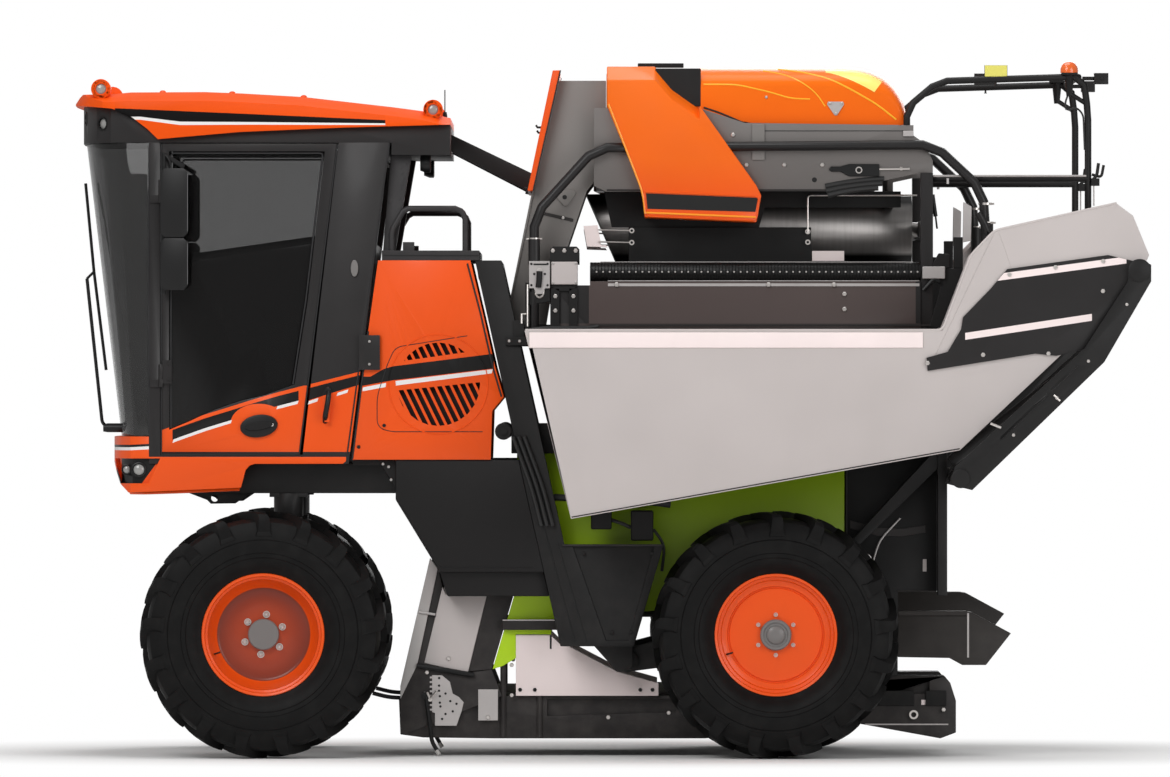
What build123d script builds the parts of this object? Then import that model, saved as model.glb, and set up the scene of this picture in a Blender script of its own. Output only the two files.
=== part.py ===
# Self-propelled straddle grape harvester, millimetres.
# Front is -X, up is +Z, the left side is -Y. The origin is on the ground under the middle of the machine.
# Side outlines are lists of (x, z). A distance "out" is measured from the machine's middle plane.
from build123d import *
from math import atan, cos, degrees, pi, radians, sin
import os

# Wheels and stance
TYRE_R = 650
AXLE_Z = 650
FRONT_TYRE_W = 340
REAR_TYRE_W = 440
TREAD_R = 608
SIDEWALL_R = 500
TYRE_SIDES = 32
LUG_COUNT = 32
LUG_W = 60
LUG_ROOT_R = 555
LUG_SWEEP = 0.42
RIM_R = 322
RIM_BARREL_R = 316
RIM_SHARE = 0.72
RIM_LIP_T = 12
RIM_SIDES = 20
HUB_R = 82
HUB_CAP_T = 14
NUT_CIRCLE_R = 106
NUT_COUNT = 6
NUT_H = 18
AXLE_R = 35
DISC_T = 20
HUB_FACE = 40
DRUM_R = 150
FRONT_AXLE_X = -1810
REAR_AXLE_X = 880
FRONT_TRACK = 930
REAR_TRACK = 950
KINGPIN_TRAIL = 125
KINGPIN_TO_TYRE = 100
KINGPIN_R = 35
KINGPIN_LENGTH = 90
LEG_R = 78
LEG_DROP = 120
PIN_CLEARANCE = 0.1
RUN_GAP = 6

# Chassis
BEAM_BOTTOM = 1390
BEAM_H = 156
BEAM_W = 120
BEAM_TO_TYRE = 10
BEAM_FRONT_X = -2210
REAR_BEAM_BOTTOM = 1600
REAR_POST_X = 1740
REAR_POST_W = 50
REAR_POST_BOTTOM = 850
LEG_W = 140
INCLINE_TOP = (-700, 2617)
INCLINE_FOOT = (-250, 585)
INCLINE_W = 140
LEG_BOX_TOP = 1121
TABLE_BOTTOM = 2260

# Cab
CAB_OUT = 850
CAB_WALL = 50
COWL_WALL = 40
COWL_LIP = 15
CAB_FLOOR = 1593
CAB_TOP = 3237
DOOR_FRONT_X = -2352
PILLAR_W = 64
DOOR_BACK_TOP_X = -1428
DOOR_BACK_FOOT_X = -1622
CAB_BACK_TOP_X = -1150
CAB_BACK_FOOT_X = -1365
DOOR_GAP = 10
HINGE_HEIGHTS = (2030, 3000)
HINGE_R = 14
HINGE_PIN_R = 6
HINGE_LEAF_T = 12
HINGE_HALF = 40
HINGE_OUT = CAB_OUT + HINGE_R + 2
GLASS_T = 8
SCREEN_TOP_X = -2788
SCREEN_FOOT_X = -2622
SCREEN_FOOT_Z = 1690
ROOF_NOSE_X = -2830
ROOF_TAIL_X = -830
ROOF_OUT = 900
NOSE_STEPS = 5
NOSE_POWER = 3.2

# Engine bay and deck
DECK_T = 52
COVER_T = 40

# Bins
BIN_IN = 860
BIN_OUT = 1440
BIN_WALL = 20
BIN_PLATE_T = 15
PIVOT_X = 2767
PIVOT_Z = 2557
PIVOT_R = 60
PIVOT_PIN_R = 28
ARM_T = 35
ARM_GAP = 6

# Picking head
HEAD_BOTTOM = 92
HEAD_WALL = 30
TUNNEL_HALF = 300


def plate(outline, inner, outer, mode=Mode.ADD):
    """A plate cut to a side outline, standing from one distance out to another on the left side."""
    with BuildSketch(Plane.XZ.offset(inner)) as face:
        with BuildLine():
            Polyline(*outline, close=True)
        make_face()
    extrude(face.sketch, amount=outer - inner, mode=mode)


def block(x, y, z, mode=Mode.ADD):
    """A box between two x, two y and two z values."""
    with Locations(((x[0] + x[1]) / 2, (y[0] + y[1]) / 2, (z[0] + z[1]) / 2)):
        Box(x[1] - x[0], y[1] - y[0], z[1] - z[0], mode=mode)


def left(x, out, z, mode=Mode.ADD):
    """A box on the left side, its y given as two distances out."""
    block(x, (-out[1], -out[0]), z, mode)


def rod(start, end, radius, mode=Mode.ADD):
    """A round bar between two points, for pins, bores and shafts."""
    axis = Vector(*end) - Vector(*start)
    with BuildSketch(Plane(origin=start, z_dir=axis)) as disc:
        Circle(radius)
    extrude(disc.sketch, amount=axis.length, mode=mode)


def bar(start, end, radius, sides=8, mode=Mode.ADD):
    """A bar with flat sides between two points."""
    axis = Vector(*end) - Vector(*start)
    with BuildSketch(Plane(origin=start, z_dir=axis)) as face:
        RegularPolygon(radius, sides)
    extrude(face.sketch, amount=axis.length, mode=mode)


def tube(points, radius, cut, sides=8):
    """A bent tube with flat sides; each corner of its path is cut off by a short run, and the runs are mitred."""
    path = [Vector(*points[0])]
    for before, corner, after in zip(points, points[1:], points[2:]):
        corner = Vector(*corner)
        path.append(corner + (Vector(*before) - corner).normalized() * cut)
        path.append(corner + (Vector(*after) - corner).normalized() * cut)
    path.append(Vector(*points[-1]))
    with BuildLine() as line:
        Polyline(*path)
    with BuildSketch(Plane(origin=path[0], z_dir=path[1] - path[0])) as face:
        RegularPolygon(radius, sides)
    sweep(face.sketch, path=line.line, transition=Transition.RIGHT)


def rings(plane, sections, sides, mode=Mode.ADD):
    """A turned form with flat sides, from a table of distance along the axis and radius.
    Each band between two rows starts at its wider ring and narrows to the other."""
    for band in zip(sections, sections[1:]):
        (start, wide), (end, narrow) = sorted(band, key=lambda ring: -ring[1])
        with BuildSketch(plane.offset(start)) as ring:
            RegularPolygon(wide, sides)
        slope = (wide - narrow) * cos(pi / sides) / abs(end - start)
        extrude(ring.sketch, amount=end - start, taper=degrees(atan(slope)), mode=mode)


def nose_plan(out, nose_x, corner_x):
    """Half-way round the front in plan: a squared oval from one side, over the nose, to the other side."""
    points = []
    for step in range(-NOSE_STEPS, NOSE_STEPS + 1):
        turn = radians(90 * step / NOSE_STEPS)
        x = corner_x - (corner_x - nose_x) * cos(turn) ** (2 / NOSE_POWER)
        y = out * abs(sin(turn)) ** (2 / NOSE_POWER)
        points.append((x, y if step > 0 else -y))
    return points


def plan_face(out, nose_x, corner_x, back_x):
    """Plan outline of a piece with that nose, straight sides and a square back."""
    with BuildSketch() as plan:
        with BuildLine():
            Polyline(*nose_plan(out, nose_x, corner_x), (back_x, out), (back_x, -out), close=True)
        make_face()
    return plan.sketch


def shoulder(top, inner, outer, drop):
    """Cuts both long upper edges to a slope that falls outwards, along a top line of (x, z) points."""
    high = max(z for x, z in top) + drop
    for side in (1, -1):
        faces = []
        for out, fall in ((inner, 0), (outer, drop)):
            with BuildSketch(Plane.XZ.offset(side * out)) as section:
                with BuildLine():
                    Polyline(*[(x, z - fall) for x, z in top], (top[-1][0], high), (top[0][0], high), close=True)
                make_face()
            faces.append(section.sketch)
        loft(faces, ruled=True, mode=Mode.SUBTRACT)


def save(part, label):
    """Sets one finished sub-part on the height that its tyres give, and writes it to its own file."""
    placed = part.moved(Location((0, 0, TYRE_R - AXLE_Z)))
    placed.label = label
    export_step(placed, f"parts/{label}.step")


def save_pair(part, label):
    """Writes a left-hand piece and its right-hand twin."""
    save(part, f"{label}_left")
    save(mirror(part, about=Plane.XZ), f"{label}_right")


def incline_x(z):
    """Front edge of the leaning frame member at a height."""
    share = (INCLINE_TOP[1] - z) / (INCLINE_TOP[1] - INCLINE_FOOT[1])
    return INCLINE_TOP[0] + share * (INCLINE_FOOT[0] - INCLINE_TOP[0])


os.makedirs("parts", exist_ok=True)
# The frame and the head keep inside the rear tyres, and the steering pins inside the front ones.
BEAM_OUT = REAR_TRACK - REAR_TYRE_W / 2 - BEAM_TO_TYRE
BEAM_IN = BEAM_OUT - BEAM_W
LEG_IN = BEAM_OUT - 20
LEG_OUT = LEG_IN + LEG_W
ARM_OUT = BEAM_OUT - 30
ARM_IN = ARM_OUT - 80
HEAD_OUT = BEAM_IN
HEAD_IN = HEAD_OUT - HEAD_WALL
KINGPIN_OUT = FRONT_TRACK - FRONT_TYRE_W / 2 - KINGPIN_TO_TYRE
LEG_BOX_BACK_TOP_X = REAR_AXLE_X - TYRE_R + 64
LEG_BOX_BACK_FOOT_X = REAR_AXLE_X - TYRE_R - 93
BEAM_TOP = BEAM_BOTTOM + BEAM_H
REAR_BEAM_TOP = REAR_BEAM_BOTTOM + BEAM_H
REAR_X = REAR_POST_X + REAR_POST_W
KINGPIN_X = FRONT_AXLE_X + KINGPIN_TRAIL
DECK_BOTTOM = INCLINE_TOP[1]
DECK_TOP = DECK_BOTTOM + DECK_T
TANK_TOP = BEAM_TOP + 22

# Chassis: low side beams under the cab, two leaning members that end in the rear leg boxes,
# high side beams over the row, rear posts and braces, and cross members.
with BuildPart() as chassis_frame:
    left((BEAM_FRONT_X, incline_x(BEAM_BOTTOM)), (BEAM_IN, BEAM_OUT), (BEAM_BOTTOM, BEAM_TOP))
    lean = [
        INCLINE_TOP,
        (INCLINE_TOP[0] + INCLINE_W, INCLINE_TOP[1]),
        (incline_x(LEG_BOX_TOP) + INCLINE_W, LEG_BOX_TOP),
        (LEG_BOX_BACK_TOP_X, LEG_BOX_TOP),
        (LEG_BOX_BACK_FOOT_X, INCLINE_FOOT[1]),
        INCLINE_FOOT,
    ]
    plate(lean, LEG_IN, LEG_OUT)
    web = [(x + 30, z) for x, z in ((incline_x(LEG_BOX_TOP) + INCLINE_W, LEG_BOX_TOP + 30), (-40, INCLINE_FOOT[1] + 30))]
    pocket = [*web, (LEG_BOX_BACK_FOOT_X - 30, INCLINE_FOOT[1] + 30), (LEG_BOX_BACK_TOP_X - 40, LEG_BOX_TOP + 30)]
    plate(pocket, LEG_OUT - 12, LEG_OUT, Mode.SUBTRACT)
    foot = INCLINE_FOOT[1]
    lug = [
        (LEG_BOX_BACK_FOOT_X - 210, foot),
        (LEG_BOX_BACK_FOOT_X - 6, foot),
        (LEG_BOX_BACK_FOOT_X - 6, foot - 110),
        (LEG_BOX_BACK_FOOT_X - 40, foot - 135),
        (LEG_BOX_BACK_FOOT_X - 90, foot - 135),
    ]
    plate(lug, LEG_IN, LEG_IN + 60)
    left((incline_x(REAR_BEAM_TOP), REAR_X), (BEAM_IN, BEAM_OUT), (REAR_BEAM_BOTTOM, REAR_BEAM_TOP))
    left((REAR_POST_X, REAR_X), (BEAM_IN, BEAM_OUT), (REAR_POST_BOTTOM, TABLE_BOTTOM))
    left((INCLINE_TOP[0] + 400, INCLINE_TOP[0] + 480), (BEAM_IN, BEAM_OUT), (REAR_BEAM_TOP, TABLE_BOTTOM))
    brace = [(1240, 1090), (1300, 1090), (REAR_POST_X, 1520), (REAR_POST_X, REAR_BEAM_BOTTOM), (1710, REAR_BEAM_BOTTOM)]
    plate(brace, BEAM_IN + 20, BEAM_OUT - 20)
    mirror(about=Plane.XZ)
    # columns: front x, back x, bottom z, top z of each cross member
    for x0, x1, z0, z1 in (
        (BEAM_FRONT_X, BEAM_FRONT_X + 100, BEAM_BOTTOM, BEAM_TOP),
        (KINGPIN_X - 80, KINGPIN_X + 80, BEAM_BOTTOM, BEAM_TOP),
        (-1200, -1100, BEAM_BOTTOM, BEAM_TOP),
        (incline_x(BEAM_TOP) - 160, incline_x(BEAM_TOP) - 40, BEAM_BOTTOM, BEAM_TOP),
        (700, 800, REAR_BEAM_BOTTOM, REAR_BEAM_TOP),
        (REAR_POST_X - 60, REAR_X, REAR_BEAM_BOTTOM, REAR_BEAM_TOP),
    ):
        block((x0, x1), (-BEAM_IN, BEAM_IN), (z0, z1))
    block((INCLINE_TOP[0] + 20, INCLINE_TOP[0] + INCLINE_W), (-LEG_IN, LEG_IN), (DECK_BOTTOM - 90, DECK_BOTTOM))
save(chassis_frame.part, "chassis_frame")

# Front legs: a round sleeve under each side beam that holds the steering pin, and a towing eye ahead of it.
TOW_EYE = (-2076, 1364)
TOW_EYE_R = 19
TOW_EYE_OUT = 675
TOW_EYE_T = 30
with BuildPart() as front_legs:
    sleeve_foot = BEAM_BOTTOM - LEG_DROP
    bar((KINGPIN_X, -KINGPIN_OUT, sleeve_foot), (KINGPIN_X, -KINGPIN_OUT, BEAM_BOTTOM), LEG_R, 16)
    sole = (min(KINGPIN_OUT - LEG_R, BEAM_IN), BEAM_OUT)
    left((KINGPIN_X - 100, KINGPIN_X + 100), sole, (BEAM_BOTTOM - 20, BEAM_BOTTOM))
    pin_r = KINGPIN_R + PIN_CLEARANCE
    rod((KINGPIN_X, -KINGPIN_OUT, sleeve_foot), (KINGPIN_X, -KINGPIN_OUT, BEAM_BOTTOM - 20), pin_r, Mode.SUBTRACT)
    ear = [
        (TOW_EYE[0] - 134, BEAM_BOTTOM), (TOW_EYE[0] - 40, TOW_EYE[1] - 10), (TOW_EYE[0] - 20, TOW_EYE[1] - 30),
        (TOW_EYE[0] + 110, BEAM_BOTTOM - 54), (TOW_EYE[0] + 190, BEAM_BOTTOM),
    ]
    plate(ear, TOW_EYE_OUT - TOW_EYE_T, TOW_EYE_OUT)
    eye_start = (TOW_EYE[0], -(TOW_EYE_OUT - TOW_EYE_T), TOW_EYE[1])
    rod(eye_start, (TOW_EYE[0], -TOW_EYE_OUT, TOW_EYE[1]), TOW_EYE_R, Mode.SUBTRACT)
    mirror(about=Plane.XZ)
save(front_legs.part, "front_legs")

# Wheels. Each tyre has a row of slanted lugs down each side of its tread, staggered by half a pitch, that run
# over the shoulder. Its rim has lips, a stepped well, a dished centre, a hub cap and six nuts.
# columns: place, axle x, track, tyre width, depth of the dish from the outer face, nut radius
WHEELS = (
    ("front", FRONT_AXLE_X, FRONT_TRACK, FRONT_TYRE_W, 125, 16),
    ("rear", REAR_AXLE_X, REAR_TRACK, REAR_TYRE_W, 60, 10),
)
# columns: share of the half width, radius
CARCASS = ((-1, SIDEWALL_R), (-0.76, TREAD_R), (0.76, TREAD_R), (1, SIDEWALL_R))
disc_out = {}
for place, axle_x, track, width, dish, nut_r in WHEELS:
    half = width / 2
    seat = half * RIM_SHARE
    axle = Plane(origin=(axle_x, -track, AXLE_Z), x_dir=(1, 0, 0), z_dir=(0, -1, 0))
    sweep_back = half * LUG_SWEEP
    lug_top_r = (TYRE_R**2 - (sweep_back + LUG_W / 2) ** 2) ** 0.5
    with BuildPart() as tyre:
        rings(axle, [(share * half, radius) for share, radius in CARCASS], TYRE_SIDES)
        for hand in (-1, 1):
            rings(axle, [(hand * seat, RIM_R + 1), (hand * half, SIDEWALL_R)], TYRE_SIDES, Mode.SUBTRACT)
        rings(axle, [(-half, RIM_BARREL_R), (half, RIM_BARREL_R)], RIM_SIDES, Mode.SUBTRACT)
        for row, hand in ((0, 1), (1, -1)):
            seats = []
            for step in range(row, LUG_COUNT, 2):
                turn = radians(360 * step / LUG_COUNT)
                radial = Vector(-sin(turn), 0, cos(turn))
                forward = Vector(-cos(turn), 0, -sin(turn))
                seats.append(Plane(origin=axle.origin + radial * LUG_ROOT_R, x_dir=forward, z_dir=radial))
            with BuildSketch(*seats):
                with BuildLine():
                    Polyline(
                        (sweep_back - LUG_W / 2, -hand * 8), (sweep_back + LUG_W / 2, -hand * 8),
                        (-sweep_back + LUG_W / 2, hand * half * 0.96), (-sweep_back - LUG_W / 2, hand * half * 0.96),
                        close=True,
                    )
                make_face()
            extrude(amount=lug_top_r - LUG_ROOT_R)
    save_pair(tyre.part, f"tyre_{place}")
    disc_face = seat - dish
    disc_out[place] = track + disc_face
    cap_face = disc_face + HUB_FACE
    with BuildPart() as rim:
        rings(axle, [(-seat, RIM_BARREL_R), (seat, RIM_BARREL_R)], RIM_SIDES)
        for along in (-seat - RIM_LIP_T, seat):
            rings(axle, [(along, RIM_R), (along + RIM_LIP_T, RIM_R)], RIM_SIDES)
        well = [
            (seat + RIM_LIP_T, RIM_R - 12), (seat - 20, RIM_R - 24), (disc_face + 16, RIM_R - 50), (disc_face, RIM_R - 62),
        ]
        rings(axle, well, RIM_SIDES, Mode.SUBTRACT)
        rings(axle, [(-seat - RIM_LIP_T, RIM_R - 12), (disc_face - DISC_T, RIM_R - 40)], RIM_SIDES, Mode.SUBTRACT)
        rings(axle, [(disc_face, HUB_R), (cap_face - HUB_CAP_T, HUB_R), (cap_face, HUB_R - 22)], 16)
        with BuildSketch(axle.offset(disc_face)):
            with PolarLocations(NUT_CIRCLE_R, NUT_COUNT):
                RegularPolygon(nut_r, 6)
        extrude(amount=NUT_H)
        bore = axle.offset(disc_face - DISC_T)
        with BuildSketch(bore):
            Circle(AXLE_R + PIN_CLEARANCE)
        extrude(amount=DISC_T + HUB_FACE - HUB_CAP_T, mode=Mode.SUBTRACT)
    save_pair(rim.part, f"rim_{place}")

# Steered knuckles: a pin up into the leg housing, a cast plate down to the axle, and the drum of the drive motor.
for place, side in (("left", -1), ("right", 1)):
    with BuildPart() as knuckle:
        top = BEAM_BOTTOM - LEG_DROP - RUN_GAP
        rod((KINGPIN_X, -KINGPIN_OUT, top), (KINGPIN_X, -KINGPIN_OUT, top + KINGPIN_LENGTH), KINGPIN_R)
        fork = [
            (KINGPIN_X - 70, top), (KINGPIN_X + 70, top), (KINGPIN_X + 60, top - 240), (FRONT_AXLE_X + 120, AXLE_Z - 60),
            (FRONT_AXLE_X, AXLE_Z - 150), (FRONT_AXLE_X - 120, AXLE_Z - 60), (FRONT_AXLE_X - 120, AXLE_Z + 80),
        ]
        plate(fork, KINGPIN_OUT - 50, KINGPIN_OUT + 50)
        drum_end = disc_out["front"] - DISC_T - RUN_GAP
        bar((FRONT_AXLE_X, -KINGPIN_OUT, AXLE_Z), (FRONT_AXLE_X, -drum_end, AXLE_Z), DRUM_R, 16)
        stub_end = disc_out["front"] + HUB_FACE - HUB_CAP_T - RUN_GAP
        rod((FRONT_AXLE_X, -drum_end, AXLE_Z), (FRONT_AXLE_X, -stub_end, AXLE_Z), AXLE_R)
        if side > 0:
            mirror(about=Plane.XZ, mode=Mode.REPLACE)
    save(knuckle.part, f"knuckle_{place}")

# Rear wheel arms: each trails from the leg box's lug to the hub and carries the drum of the drive motor.
with BuildPart() as rear_arms:
    pivot = (LEG_BOX_BACK_FOOT_X - 32, INCLINE_FOOT[1] - 78)
    arm = [
        (pivot[0] - 60, pivot[1]), (pivot[0] - 20, pivot[1] + 60), (REAR_AXLE_X - 60, AXLE_Z + 110),
        (REAR_AXLE_X + 90, AXLE_Z + 60), (REAR_AXLE_X + 90, AXLE_Z - 60), (REAR_AXLE_X - 60, AXLE_Z - 110),
        (pivot[0], pivot[1] - 60),
    ]
    plate(arm, ARM_IN, ARM_OUT)
    bar((pivot[0], -ARM_OUT, pivot[1]), (pivot[0], -LEG_IN, pivot[1]), 45, 12)
    drum_end = disc_out["rear"] - DISC_T - RUN_GAP
    bar((REAR_AXLE_X, -ARM_OUT, AXLE_Z), (REAR_AXLE_X, -drum_end, AXLE_Z), DRUM_R, 16)
    stub_end = disc_out["rear"] + HUB_FACE - HUB_CAP_T - RUN_GAP
    rod((REAR_AXLE_X, -drum_end, AXLE_Z), (REAR_AXLE_X, -stub_end, AXLE_Z), AXLE_R)
    mirror(about=Plane.XZ)
save(rear_arms.part, "rear_wheel_arms")

# Side tanks under the engine bay, in front of the leaning members, with a set-back sump and a corner gusset.
SUMP_TOP = 975
SUMP_FOOT = 848
SUMP_SETBACK = 40
with BuildPart() as side_tanks:
    tank = [
        (-1118, TANK_TOP), (-1118, 1357), (-885, SUMP_TOP), (incline_x(SUMP_TOP), SUMP_TOP), (incline_x(TANK_TOP), TANK_TOP),
    ]
    plate(tank, HEAD_OUT + 6, LEG_OUT)
    sump = [(-885, SUMP_TOP), (-845, SUMP_FOOT), (incline_x(SUMP_FOOT), SUMP_FOOT), (incline_x(SUMP_TOP), SUMP_TOP)]
    plate(sump, HEAD_OUT + 6, LEG_OUT - SUMP_SETBACK)
    gusset = [(-1213, TANK_TOP), (-1118, TANK_TOP), (-1118, BEAM_BOTTOM + 20)]
    plate(gusset, LEG_OUT - 60, LEG_OUT - 40)
    left((-1300, 0), (0, BEAM_OUT), (BEAM_BOTTOM, TANK_TOP + 1), Mode.SUBTRACT)
    mirror(about=Plane.XZ)
save(side_tanks.part, "side_tanks")

# Cab shell: floor, front pillars, rear side panels and a rear wall with its window.
BACK_TOP = (CAB_BACK_TOP_X, CAB_TOP)
BACK_FOOT = (CAB_BACK_FOOT_X, BEAM_TOP)
PILLAR_X = DOOR_FRONT_X - DOOR_GAP / 2
CORNER_X = DOOR_FRONT_X - PILLAR_W
COWL_IN = CAB_OUT - COWL_WALL
REAR_WINDOW_FOOT = 2700
REAR_WINDOW_TOP = CAB_TOP - 80
REAR_WINDOW_OUT = CAB_OUT - 150
COWL_NOSE_IN = SCREEN_FOOT_X + 60
SILL_FOOT = CAB_FLOOR - 10
PULL_X = -1478
PULL_Z = 1856
COWL_STRIP = [(CORNER_X, BEAM_TOP), (-1395, BEAM_TOP), (-1378, BEAM_TOP + 14), (-1378, SILL_FOOT), (CORNER_X, SILL_FOOT)]
with BuildPart() as cab_shell:
    floor_back = CAB_BACK_FOOT_X
    extrude(plan_face(COWL_IN, COWL_NOSE_IN, CORNER_X, floor_back), amount=CAB_FLOOR)
    block((-4000, 0), (-2 * CAB_OUT, 2 * CAB_OUT), (-1, BEAM_TOP), Mode.SUBTRACT)
    left((CORNER_X, floor_back), (COWL_IN - 1, CAB_OUT - COWL_LIP), (BEAM_TOP, SILL_FOOT))
    left((CORNER_X, floor_back), (COWL_IN - 1, CAB_OUT), (SILL_FOOT, CAB_FLOOR))
    left((CORNER_X, PILLAR_X), (CAB_OUT - CAB_WALL, CAB_OUT), (CAB_FLOOR, CAB_TOP))
    side_panel = [
        (DOOR_BACK_TOP_X + DOOR_GAP, CAB_TOP), BACK_TOP, BACK_FOOT, (DOOR_BACK_FOOT_X + DOOR_GAP, BEAM_TOP),
    ]
    plate(side_panel, CAB_OUT - CAB_WALL, CAB_OUT)
    left((-1310, -1200), (CAB_OUT, CAB_OUT + 25), (2040, 2223))
    pull = [(x + PULL_X, z + PULL_Z) for x, z in ((-12, -90), (12, -90), (24, 70), (12, 92), (-6, 92), (-24, 66))]
    plate(pull, CAB_OUT, CAB_OUT + 35)
    for height in HINGE_HEIGHTS:
        low = height - HINGE_HALF
        left((CORNER_X + 6, DOOR_FRONT_X), (CAB_OUT, CAB_OUT + HINGE_LEAF_T), (low - HINGE_HALF, low - PIN_CLEARANCE))
        rod((DOOR_FRONT_X, -HINGE_OUT, low - HINGE_HALF), (DOOR_FRONT_X, -HINGE_OUT, low - PIN_CLEARANCE), HINGE_R)
        rod((DOOR_FRONT_X, -HINGE_OUT, low - HINGE_HALF), (DOOR_FRONT_X, -HINGE_OUT, low + 2 * HINGE_HALF), HINGE_PIN_R)
    mirror(about=Plane.XZ)
    rear_wall = [
        (CAB_BACK_TOP_X - CAB_WALL, CAB_TOP), BACK_TOP, BACK_FOOT, (CAB_BACK_FOOT_X - CAB_WALL, BEAM_TOP),
    ]
    plate(rear_wall, -CAB_OUT, CAB_OUT)
    opening_x = (CAB_BACK_FOOT_X - 100, CAB_BACK_TOP_X + 50)
    block(opening_x, (-REAR_WINDOW_OUT, REAR_WINDOW_OUT), (REAR_WINDOW_FOOT, REAR_WINDOW_TOP), Mode.SUBTRACT)
    for out in (-CAB_OUT, CAB_OUT - COWL_LIP):
        plate(COWL_STRIP, out, out + COWL_LIP, Mode.SUBTRACT)
save(cab_shell.part, "cab_shell")

# Cab roof: a domed cap over the whole cab, longer than the cab at its tail, with a round lamp in a ring at each end.
ROOF_LOW = [(-2798, 3436), (-2609, 3415), (-2515, 3378), (-2420, 3305), (-2368, 3254), (-1937, 3292), (-1402, 3315)]
ROOF_TOP = [
    (ROOF_TAIL_X, 3368), (-976, 3405), (-1134, 3426), (-1606, 3480), (-1937, 3499), (-2126, 3506), (-2515, 3504),
    (-2609, 3495), (-2770, 3492), (ROOF_NOSE_X, 3440),
]
LAMP_R = 52
LAMP_OUT = (ROOF_OUT - 190, ROOF_OUT - 90)
with BuildPart() as cab_roof:
    plate([*ROOF_LOW, (ROOF_TAIL_X, 3331), *ROOF_TOP], -ROOF_OUT, ROOF_OUT)
    shoulder([(ROOF_TAIL_X + 50, 3348), *ROOF_TOP[:-1], (ROOF_NOSE_X - 30, 3466)], ROOF_OUT - 170, ROOF_OUT + 1, 50)
    extrude(plan_face(ROOF_OUT, ROOF_NOSE_X, -2500, ROOF_TAIL_X), amount=CAB_TOP + 500, mode=Mode.INTERSECT)
    for lamp_x, lamp_z in ((-2671, 3521), (-921, 3412)):
        bar((lamp_x, -LAMP_OUT[0], lamp_z), (lamp_x, -LAMP_OUT[1], lamp_z), LAMP_R, 16)
        bar((lamp_x, -LAMP_OUT[1] + 14, lamp_z), (lamp_x, -LAMP_OUT[1], lamp_z), 30, 12, Mode.SUBTRACT)
        bar((lamp_x, LAMP_OUT[0], lamp_z), (lamp_x, LAMP_OUT[1], lamp_z), LAMP_R, 16)
        bar((lamp_x, LAMP_OUT[1] - 14, lamp_z), (lamp_x, LAMP_OUT[1], lamp_z), 30, 12, Mode.SUBTRACT)
save(cab_roof.part, "cab_roof")

# Roof band: the dark lining and lamp visor between the cab and its roof, with two round lamp wells at each corner.
VISOR_CORNER_X = -2460
VISOR_DEPTH = 60
with BuildPart() as roof_band:
    outline = [*ROOF_LOW, (ROOF_TAIL_X, 3331), (ROOF_TAIL_X, 3172), (-1139, 3172), (-1139, CAB_TOP), (SCREEN_TOP_X, CAB_TOP)]
    plate(outline, -CAB_OUT, CAB_OUT)
    extrude(plan_face(CAB_OUT, SCREEN_TOP_X, VISOR_CORNER_X, ROOF_TAIL_X), amount=CAB_TOP + 500, mode=Mode.INTERSECT)
    # columns: x, distance out, height, turn from straight ahead
    for lamp_x, lamp_out, lamp_z, turn in ((-2668, 783, 3338, 50), (-2765, 545, 3368, 12)):
        for side in (-1, 1):
            ahead = Vector(-cos(radians(turn)), side * sin(radians(turn)), 0)
            face = Vector(lamp_x, side * lamp_out, lamp_z)
            bar(face - ahead * VISOR_DEPTH, face + ahead * VISOR_DEPTH, 37, 12, Mode.SUBTRACT)
            bar(face - ahead * VISOR_DEPTH, face - ahead * 25, 27, 12)
save(roof_band.part, "roof_band")

# Cab glass: a bent windscreen, wider in its bulge at the top than at the foot, and the rear window pane.
with BuildPart() as cab_glass:
    corner_x = CORNER_X - 0.3
    faces = []
    for z, nose_x in ((SCREEN_FOOT_Z, SCREEN_FOOT_X + 40), (CAB_TOP, SCREEN_TOP_X + 15)):
        with BuildSketch(Plane.XY.offset(z)) as section:
            with BuildLine():
                outer = nose_plan(CAB_OUT, nose_x, corner_x)
                inner = nose_plan(CAB_OUT - GLASS_T, nose_x + GLASS_T, corner_x)
                Polyline(*outer, *reversed(inner), close=True)
            make_face()
        faces.append(section.sketch)
    loft(faces, ruled=True)
    pane = []
    for z, step in ((REAR_WINDOW_FOOT, 0), (REAR_WINDOW_FOOT, GLASS_T), (REAR_WINDOW_TOP, GLASS_T), (REAR_WINDOW_TOP, 0)):
        share = (CAB_TOP - z) / (CAB_TOP - BEAM_TOP)
        pane.append((CAB_BACK_TOP_X - share * (CAB_BACK_TOP_X - CAB_BACK_FOOT_X) - 30 + step, z))
    plate(pane, -REAR_WINDOW_OUT, REAR_WINDOW_OUT)
save(cab_glass.part, "cab_glass")

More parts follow.
